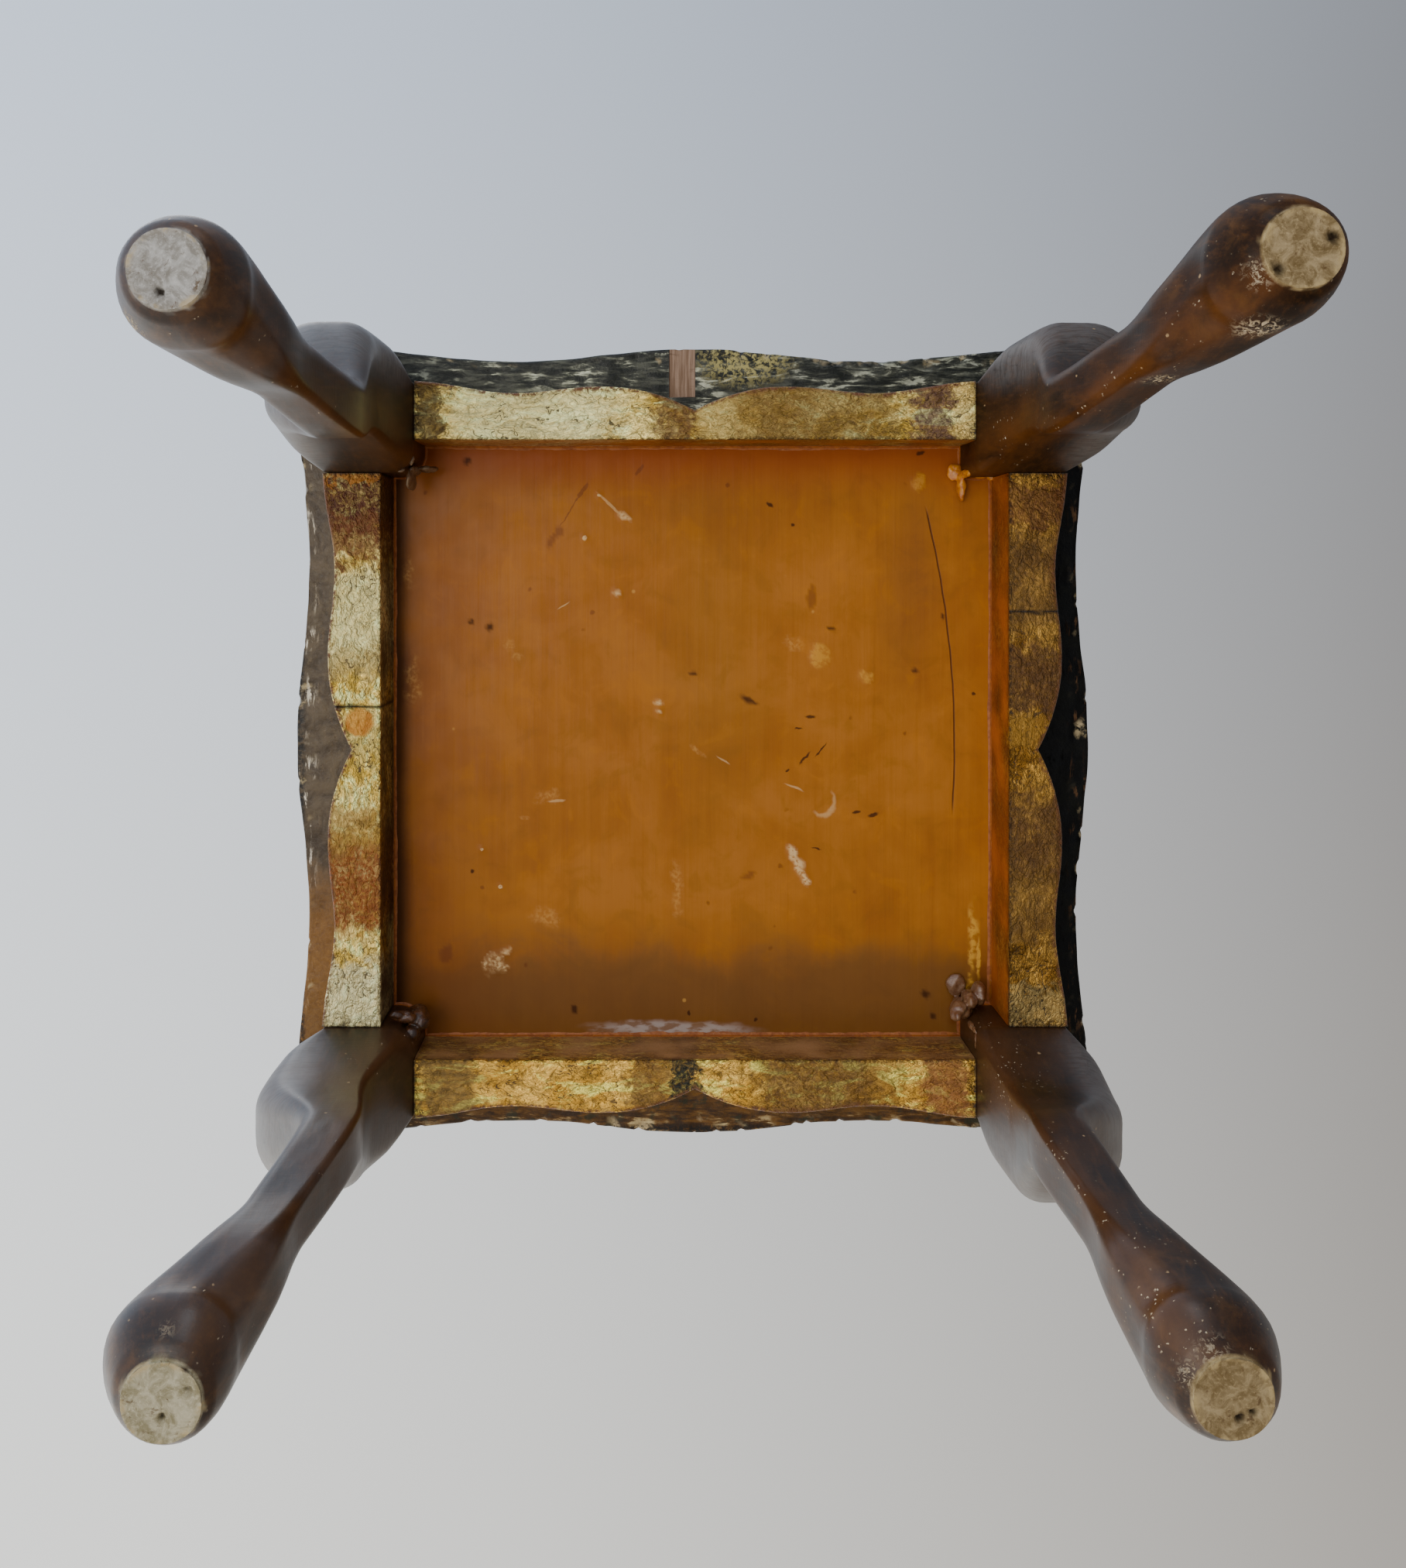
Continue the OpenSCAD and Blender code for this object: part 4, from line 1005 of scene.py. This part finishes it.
sides = {"front": (postX, table["frameY"], 0), "right": (postY, table["frameX"], 90),
         "back": (postX, table["frameY"], 180), "left": (postY, table["frameX"], 270)}
for number, (side, (halfLong, face, angle)) in enumerate(sides.items()):
    half = halfLong - rail["endGap"]
    rings = []
    for i in range(rail["steps"] + 1):
        t = -1 + 2 * i / rail["steps"]
        outer = -table["railThick"] + bow(t, halfLong)
        rings.append([Vector((half * t * mm, y * mm, z * mm)) for y, z in railSection(outer)])
    shape = bmesh.new()
    loft(shape, rings)
    closeUp(shape)
    shape.normal_update()
    seed = 10.0 + 3.3 * number
    crackAt, crackWide, crackDeep = crack.get(side, (999, 0.3, 0))
    # the left rail's own x runs the other way along the table's y
    sign = {"front": 1, "right": 1, "back": -1, "left": -1}[side]
    for v in shape.verts:
        p, n = v.co.copy(), v.normal.copy()
        middle = abs(p.x) < (half - 0.4) * mm
        low = between(p.z, 6 * mm, 0)
        soft = 0.5 + 0.5 * rough(p, 14, seed)
        fine = 0.5 + 0.5 * rough(p, 2.6, seed + 1) + 0.25 * rough(p, 1.3, seed + 2)
        move = rail["wander"] * soft + rail["crumple"] * fine * (0.35 + 0.65 * low)
        if not middle:
            move *= 0.3
        v.co -= Vector((0, n.y, n.z)) * move * mm
        gap = abs(p.x / mm * sign - crackAt - 0.6 * rough(p, 5, seed + 3))
        if p.z < 8 * mm:
            v.co.z += between(gap, 1.0, 0.0) * crackDeep * mm * between(p.z, 8 * mm, 0)
    turn = (Matrix.Rotation(math.radians(angle), 4, "Z")
            @ Matrix.Translation((0, (-face + table["railThick"]) * mm, railZ * mm)))
    bmesh.ops.transform(shape, matrix=turn, verts=shape.verts)
    piece = finishPiece(shape, "rail_" + side + "_gilt", railFinish[side], 50)
    back = turn.inverted()

    # band along the outer rim: worn leaf and painted shade of the rounded edge
    def rimWearAndShadeAt(co):
        p = back @ co
        outer = -table["railThick"] + bow(max(-1, min(1, p.x / mm / halfLong)), halfLong)
        fromRim = p.y / mm - outer
        wide = 0.9 + 2.4 * rough(p, 9, seed + 5) + 1.0 * rough(p, 3, seed + 9)
        onFoot = between(fromRim, wide + 1.2, wide - 0.8) * between(p.z, 3 * mm, 1 * mm)
        onFace = between(p.z / mm, 4.0 + 3 * rough(p, 8, seed + 6), 1.0) * between(fromRim, 2.2, 0.8)
        return min(1.0, 0.85 * onFoot + 0.7 * onFace)

    def seamAt(co):
        p = back @ co
        ends = between(half - abs(p.x / mm), 0.9, 0.2)
        gap = abs(p.x / mm * sign - crackAt - 0.6 * rough(p, 5, seed + 3))
        return max(ends * 0.8, between(gap, crackWide + 0.7, crackWide * 0.6))

    note(piece, "rimWearAndShade", rimWearAndShadeAt)
    note(piece, "seam", seamAt)
    note(piece, "border", lambda co: max(
        between((back @ co).y / mm, -1.8, -0.2), between(halfLong - abs((back @ co).x / mm), 4.0, 0.5)))

    def discAt(co):
        middle, r = discs[side]
        return between(math.dist((co.x / mm, co.y / mm), middle) + 0.6 * rough(co, 2.5, 3.0), r + 0.4, r - 0.4)

    note(piece, "disc", discAt if side in discs else lambda co: 0.0)
    note(piece, "inside", lambda co: between((back @ co).y / mm, -0.35, -0.05)
         * between((back @ co).z / mm, 0.4, 1.4))
    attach(piece, "root")
    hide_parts("rail_" + side)
print("rails made")

# ---- legs ----

leg = {
    # stations from the pad up: height, middle out from the frame's face, width,
    # then roundness of the sides, the outer corner and the inner arris
    "stations": [
        (1.2, 8.5, 21.2, 0.97, 0.97, 0.97),
        (3.5, 8.5, 28.0, 0.97, 0.97, 0.94),
        (14.0, 8.5, 36.5, 0.97, 0.97, 0.80),
        (34.0, -2.0, 27.5, 0.85, 0.95, 0.50),
        (56.0, -9.5, 19.0, 0.65, 0.92, 0.30),
        (92.0, -17.5, 19.5, 0.50, 0.90, 0.20),
        (131.0, -3.75, 39.5, 0.60, 0.95, 0.15),
        (149.0, -8.0, 41.0, 0.45, 0.85, 0.15),
        (162.0, -17.0, 34.0, 0.12, 0.47, None),
    ],
    "kneeShare": ((1.2, 56.0, 92.0, 131.0, 149.0, 162.0), (0, 0, 0.1, 1, 0.6, 0)),
    "padShare": ((1.2, 14.0, 162.0), (1, 0, 0)),
    "rings": 150, "arcPoints": 10, "sidePoints": 12, "wander": 0.30, "fine": 0.10,
    "padRings": (0.06, 0.14, 0.22, 0.30, 0.38, 0.46, 0.54, 0.62, 0.70, 0.78, 0.86, 0.93, 0.975),
    # whitish crumbs stuck to the leg: place on the table and reach
    "crusts": {
        "front_left": [((-155.0, -131.0, 10), 5.0)],
        "front_right": [((143.5, -143.5, 5), 5.5), ((147.0, -131.5, 14), 8.0), ((132.0, -122.0, 48), 6.0)],
        "back_left": [((-152.0, 140.0, 9), 5.0), ((-144.0, 137.0, 8), 5.0)],
        "back_right": [((125.7, 139.3, 28), 7.5), ((131.0, 140.5, 6), 7.0), ((126.5, 145.5, 5), 6.5),
                       ((119.0, 127.0, 48), 6.0)],
    },
    # pits in the pad: place from its middle and radius
    "pits": {
        "front_left": [((-2.0, 6.1), 1.5)],
        "front_right": [((-6.7, 5.3), 2.0), ((7.6, -3.0), 1.9)],
        "back_left": [((0.2, 3.8), 1.0), ((7.2, -3.2), 0.6)],
        "back_right": [((1.6, 5.0), 1.5), ((5.0, 3.6), 1.0)],
    },
}


def steepness(zs, vs, i):
    if i == 0:
        return (vs[1] - vs[0]) / (zs[1] - zs[0])
    if i == len(zs) - 1:
        return (vs[i] - vs[i - 1]) / (zs[i] - zs[i - 1])
    h0, h1 = zs[i] - zs[i - 1], zs[i + 1] - zs[i]
    d0, d1 = (vs[i] - vs[i - 1]) / h0, (vs[i + 1] - vs[i]) / h1
    return 0.0 if d0 * d1 <= 0 else 3 * (h0 + h1) / ((2 * h1 + h0) / d0 + (h1 + 2 * h0) / d1)


def curveAt(zs, vs, z):
    i = 0
    while i < len(zs) - 2 and z > zs[i + 1]:
        i += 1
    h = zs[i + 1] - zs[i]
    t = (z - zs[i]) / h
    return ((2 * t ** 3 - 3 * t ** 2 + 1) * vs[i] + (t ** 3 - 2 * t ** 2 + t) * h * steepness(zs, vs, i)
            + (3 * t ** 2 - 2 * t ** 3) * vs[i + 1] + (t ** 3 - t ** 2) * h * steepness(zs, vs, i + 1))


stationZ = [s[0] for s in leg["stations"]]
kneeZ = leg["stations"][-3][0]


def legMeasures(z, innerRound):
    z = min(max(z, stationZ[0]), stationZ[-1])
    columns = [[s[k] for s in leg["stations"]] for k in range(1, 6)]
    columns[4][-1] = innerRound / table["post"] * 2
    return [curveAt(stationZ, column, z) for column in columns]


def legMiddle(z, wander, middle):
    z = min(max(z, stationZ[0]), stationZ[-1])
    shares = (max(0, 1 - z / kneeZ), curveAt(*leg["kneeShare"], z), curveAt(*leg["padShare"], z))
    return [face + middle + sum(w[k] * share for w, share in zip(wander, shares))
            for k, face in enumerate((table["frameX"], table["frameY"]))]


def legRing(z, wander, innerRound):
    # Ring for the back right corner, from the outer corner round to the left, the arris and the right.
    middle, wide, side, outer, inner = legMeasures(z, innerRound)
    cx, cy = legMiddle(z, wander, middle)
    h = wide / 2
    reach = [outer, side, inner, side]
    signs = [(1, 1), (-1, 1), (-1, -1), (1, -1)]
    points = []
    for k in range(4):
        r = h * reach[k]
        sx, sy = signs[k]
        arcEnd = None
        for j in range(leg["arcPoints"] + 1):
            a = math.radians(90 * (k + j / leg["arcPoints"]))
            arcEnd = (cx + sx * (h - r) + r * math.cos(a), cy + sy * (h - r) + r * math.sin(a))
            points.append(arcEnd)
        nextR = h * reach[(k + 1) % 4]
        nx, ny = signs[(k + 1) % 4]
        a = math.radians(90 * (k + 1))
        start = (cx + nx * (h - nextR) + nextR * math.cos(a), cy + ny * (h - nextR) + nextR * math.sin(a))
        for j in range(1, leg["sidePoints"]):
            f = j / leg["sidePoints"]
            points.append((arcEnd[0] + (start[0] - arcEnd[0]) * f, arcEnd[1] + (start[1] - arcEnd[1]) * f))
    return points


for number, (place, (signs, wander, innerRound)) in enumerate(corners.items()):
    heights = [0.0, 0.6, 1.2]
    heights += [1.2 + (railZ - 1.2) * ((i + 1) / leg["rings"]) ** 1.2 for i in range(leg["rings"])]
    heights += [railZ + 3 * i for i in range(1, 10)] + [underZ]
    rings = [[Vector((x * mm, y * mm, z * mm)) for x, y in legRing(z, wander, innerRound)] for z in heights]
    padX, padY = legMiddle(0, wander, leg["stations"][0][1])
    padRings = [[Vector(((padX + (p.x / mm - padX) * f) * mm, (padY + (p.y / mm - padY) * f) * mm, 0))
                 for p in rings[0]] for f in leg["padRings"]]
    shape = bmesh.new()
    loft(shape, padRings + rings)
    capEnds(shape)
    bmesh.ops.scale(shape, vec=(signs[0], signs[1], 1), verts=shape.verts)
    facesOut(shape)
    shape.normal_update()
    seed = 30.0 + 5.1 * number
    padMiddle = Vector((padX * signs[0] * mm, padY * signs[1] * mm, 0))
    pits = leg["pits"][place]

    def pitAt(co):
        deep = 0.0
        for (dx, dy), r in pits:
            off = math.hypot(co.x - padMiddle.x - dx * mm, co.y - padMiddle.y - dy * mm) / mm
            off += 0.5 * rough(co, 1.6, seed + 4)
            deep = max(deep, between(off, r + 0.5, r * 0.35))
        return deep

    def soleAt(co):
        reach = math.hypot(co.x - padMiddle.x, co.y - padMiddle.y) / mm
        ragged = 10.75 + 0.9 * rough(co, 4.5, seed + 7) + 0.4 * rough(co, 1.6, seed + 8)
        low = between(co.z / mm, 2.2 + 0.8 * rough(co, 3.0, seed + 6), 1.3)
        return low * between(reach, ragged + 0.5, ragged)

    for v in shape.verts:
        p, n = v.co.copy(), v.normal.copy()
        low = p.z < 0.05 * mm
        if low:
            reach = (Vector((p.x, p.y, 0)) - padMiddle).length / mm
            grit = 0.14 + 0.14 * rough(p, 1.8, seed) + 0.10 * rough(p, 4.5, seed + 1)
            v.co.z += (grit * between(reach, 10.4, 9.0) + 1.3 * pitAt(p)) * mm
        else:
            hold = between(p.z / mm, 0.0, 3.0) * between(p.z / mm, railZ + 6, railZ - 12)
            hand = 0.5 + 0.5 * rough((p.x, p.y, p.z * 0.6), 13, seed)
            fine = 0.5 + 0.5 * rough((p.x, p.y, p.z * 0.5), 3.2, seed + 2)
            v.co -= n * (leg["wander"] * hand + leg["fine"] * fine) * mm * hold
    piece = finishPiece(shape, "leg_" + place + "_carved", legMaterials[place], 60)

    def arrisAt(co):
        z = co.z / mm
        middle, wide, side, outer, inner = legMeasures(z, innerRound)
        cx, cy = legMiddle(z, wander, middle)
        dx = co.x * signs[0] / mm - cx
        dy = co.y * signs[1] / mm - cy
        toward = -(dx + dy) / wide
        away = abs(dx - dy) / wide
        return between(toward, 0.35, 0.75) * between(away, 0.55, 0.05)

    note(piece, "arris", arrisAt)
    note(piece, "knee", lambda co: between(co.z / mm, 96, 122) * between(co.z / mm, 165, 148)
         * between(max(co.x * signs[0] / mm - table["frameX"], co.y * signs[1] / mm - table["frameY"]), -9, 3))
    note(piece, "crust", lambda co: max(
        between((co - Vector(c) * mm).length / mm, r, r * 0.35) for c, r in leg["crusts"][place]))
    note(piece, "foot", lambda co: between(co.z / mm, 52, 8))
    note(piece, "sole", soleAt)
    note(piece, "pit", lambda co: pitAt(co) if co.z < 2 * mm else 0.0)
    note(piece, "rim", lambda co: between(
        math.hypot(co.x - padMiddle.x, co.y - padMiddle.y) / mm, 8.8, 10.0))
    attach(piece, "root")
    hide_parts("leg_" + place)
print("legs made")

# ---- bead of pooled paint where the panel meets the rails and posts ----

bead = {"radius": {"front": 1.6, "right": 1.3, "back": 1.4, "left": 1.2}, "arc": 6, "step": 1.5}


def wallPath():
    # The notched square of rails and posts, counterclockwise, with the posts' corners rounded.
    path = []
    order = [("front_right", 1, -1), ("back_right", 1, 1), ("back_left", -1, 1), ("front_left", -1, -1)]
    for place, sx, sy in order:
        r = corners[place][2]
        turnPoints = [(postX + r * (1 - math.cos(a)), postY + r * (1 - math.sin(a)))
                      for a in [math.radians(90 * j / 8) for j in range(9)]]
        notch = [(postX, innerY)] + turnPoints + [(innerX, postY)]
        run = [(sx * x, sy * y) for x, y in notch]
        if sx * sy > 0:
            run.reverse()
        path += run
    return path + path[:1]


def walked(path, step):
    points = []
    for a, b in zip(path, path[1:]):
        long = math.dist(a, b)
        count = max(1, round(long / step))
        points += [(a[0] + (b[0] - a[0]) * i / count, a[1] + (b[1] - a[1]) * i / count) for i in range(count)]
    return points


path = walked(wallPath(), bead["step"])
rings = []
for i, (x, y) in enumerate(path):
    before, after = path[i - 2], path[(i + 2) % len(path)]
    along = Vector((after[0] - before[0], after[1] - before[1], 0)).normalized()
    across = Vector((-along.y, along.x, 0))
    if across.dot(Vector((-x, -y, 0))) < 0:
        across = -across
    weight = {"right": max(0, x / innerX), "left": max(0, -x / innerX),
              "back": max(0, y / innerY), "front": max(0, -y / innerY)}
    total = sum(w ** 6 for w in weight.values())
    r = sum(bead["radius"][k] * w ** 6 for k, w in weight.items()) / total
    r *= 1 + 0.28 * rough((x * mm, y * mm, 0), 9, 3.3) + 0.18 * rough((x * mm, y * mm, 0), 3, 5.1)
    start = Vector((x, y, underZ)) - across * 0.4
    ring = [(start + Vector((0, 0, 0.3))) * mm, (start - Vector((0, 0, r + 0.3))) * mm]
    for j in range(bead["arc"] + 1):
        a = math.pi / 2 * j / bead["arc"]
        down = Vector((0, 0, r * (1 - math.sin(a))))
        ring.append((Vector((x, y, underZ - 0.3)) + across * r * (1 - math.cos(a)) - down) * mm)
    ring.append((Vector((x, y, underZ + 0.3)) + across * r) * mm)
    rings.append(ring)
shape = bmesh.new()
loft(shape, rings + rings[:1])
bmesh.ops.remove_doubles(shape, verts=shape.verts, dist=1e-6)
facesOut(shape)
beadPiece = finishPiece(shape, "paintBead", beadFinish, 60)
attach(beadPiece, "root")
print("bead made")

# ---- hardened glue in the corners ----

glue = {
    # blobs: place out from the post's corner in x and y towards the middle, height under the board, radii
    "front_left": [((0.2, 5.0), 20, (1.2, 4.0, 9)), ((1.0, 1.0), 16, (1.6, 1.6, 9)),
                   ((5.0, 0.2), 12, (4.0, 1.1, 7)), ((-3.0, 1.5), 27.2, (2.2, 1.0, 1.2)),
                   ((1.2, -2.5), 26.8, (0.9, 2.4, 1.1))],
    "front_right": [((0.6, 3.0), 3.0, (1.6, 5.5, 3.0)), ((2.6, -1.5), 2.0, (3.6, 3.4, 1.6)),
                    ((0.0, -0.4), 9, (1.5, 1.5, 8)), ((-7.0, -0.2), 2.0, (2.6, 1.2, 1.8)),
                    ((-11.0, 0.6), 3.0, (1.7, 1.2, 1.6)), ((0.4, 7.0), 3.0, (1.3, 3.0, 2.4))],
    "back_left": [((1.0, 1.0), 10, (4.2, 4.2, 9)), ((2.2, 3.2), 17, (4.4, 3.8, 6.0)),
                  ((-1.5, 5.0), 24, (4.4, 2.2, 2.8)), ((4.0, 2.0), 19, (3.4, 3.2, 4.6)),
                  ((1.0, -1.5), 22, (3.0, 3.2, 4.0)), ((-4.0, 6.6), 26.5, (2.4, 1.4, 1.6))],
    "back_right": [((2.0, 2.0), 8, (3.6, 3.6, 8)), ((4.6, 3.6), 14, (3.4, 2.6, 4.4)),
                   ((6.0, 1.8), 17, (2.4, 2.2, 3.4)), ((-0.4, 6.0), 10, (2.6, 3.0, 7)),
                   ((-4.5, 7.5), 8, (2.6, 4.5, 5)), ((1.0, -1.0), 22, (0.9, 1.2, 6.5)),
                   ((0.8, -5.0), 28.2, (0.6, 4.6, 0.8)), ((3.0, 9.0), 1.6, (3.6, 4.6, 1.6))],
}
for number, (place, (signs, wander, innerRound)) in enumerate(corners.items()):
    shape = bmesh.new()
    cut = innerRound * (1 - math.sqrt(0.5))
    for (dx, dy), down, radii in glue[place]:
        made = bmesh.ops.create_icosphere(shape, subdivisions=4, radius=1.0)["verts"]
        bmesh.ops.scale(shape, vec=[r * mm for r in radii], verts=made)
        x = signs[0] * (postX + cut - dx) * mm
        y = signs[1] * (postY + cut - dy) * mm
        bmesh.ops.translate(shape, vec=(x, y, (underZ - down) * mm), verts=made)
    seed = 60 + 2.7 * number
    for v in shape.verts:
        p = v.co.copy()
        push = Vector((rough(p, 2.6, seed), rough(p, 2.6, seed + 3), rough(p, 2.6, seed + 6)))
        v.co += push * 0.7 * mm
        v.co.z = max(v.co.z, (railZ + 0.4) * mm)
    rawMesh = bpy.data.meshes.new("glueRaw")
    shape.to_mesh(rawMesh)
    shape.free()
    rawPiece = bpy.data.objects.new("glueRaw", rawMesh)
    bpy.context.scene.collection.objects.link(rawPiece)
    skin = rawPiece.modifiers.new("skin", "REMESH")
    skin.mode = "VOXEL"
    skin.voxel_size = 0.35 * mm
    ease = rawPiece.modifiers.new("ease", "SMOOTH")
    ease.iterations = 4
    settled = bpy.data.meshes.new_from_object(rawPiece.evaluated_get(bpy.context.evaluated_depsgraph_get()))
    bpy.data.objects.remove(rawPiece)
    settled.name = "glue_" + place + "_hard"
    settled.materials.clear()
    settled.materials.append(glueMaterials[place])
    settled.shade_smooth()
    piece = bpy.data.objects.new("glue_" + place + "_hard", settled)
    bpy.context.scene.collection.objects.link(piece)
    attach(piece, "root")
    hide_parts("glue_" + place)
print("glue made")
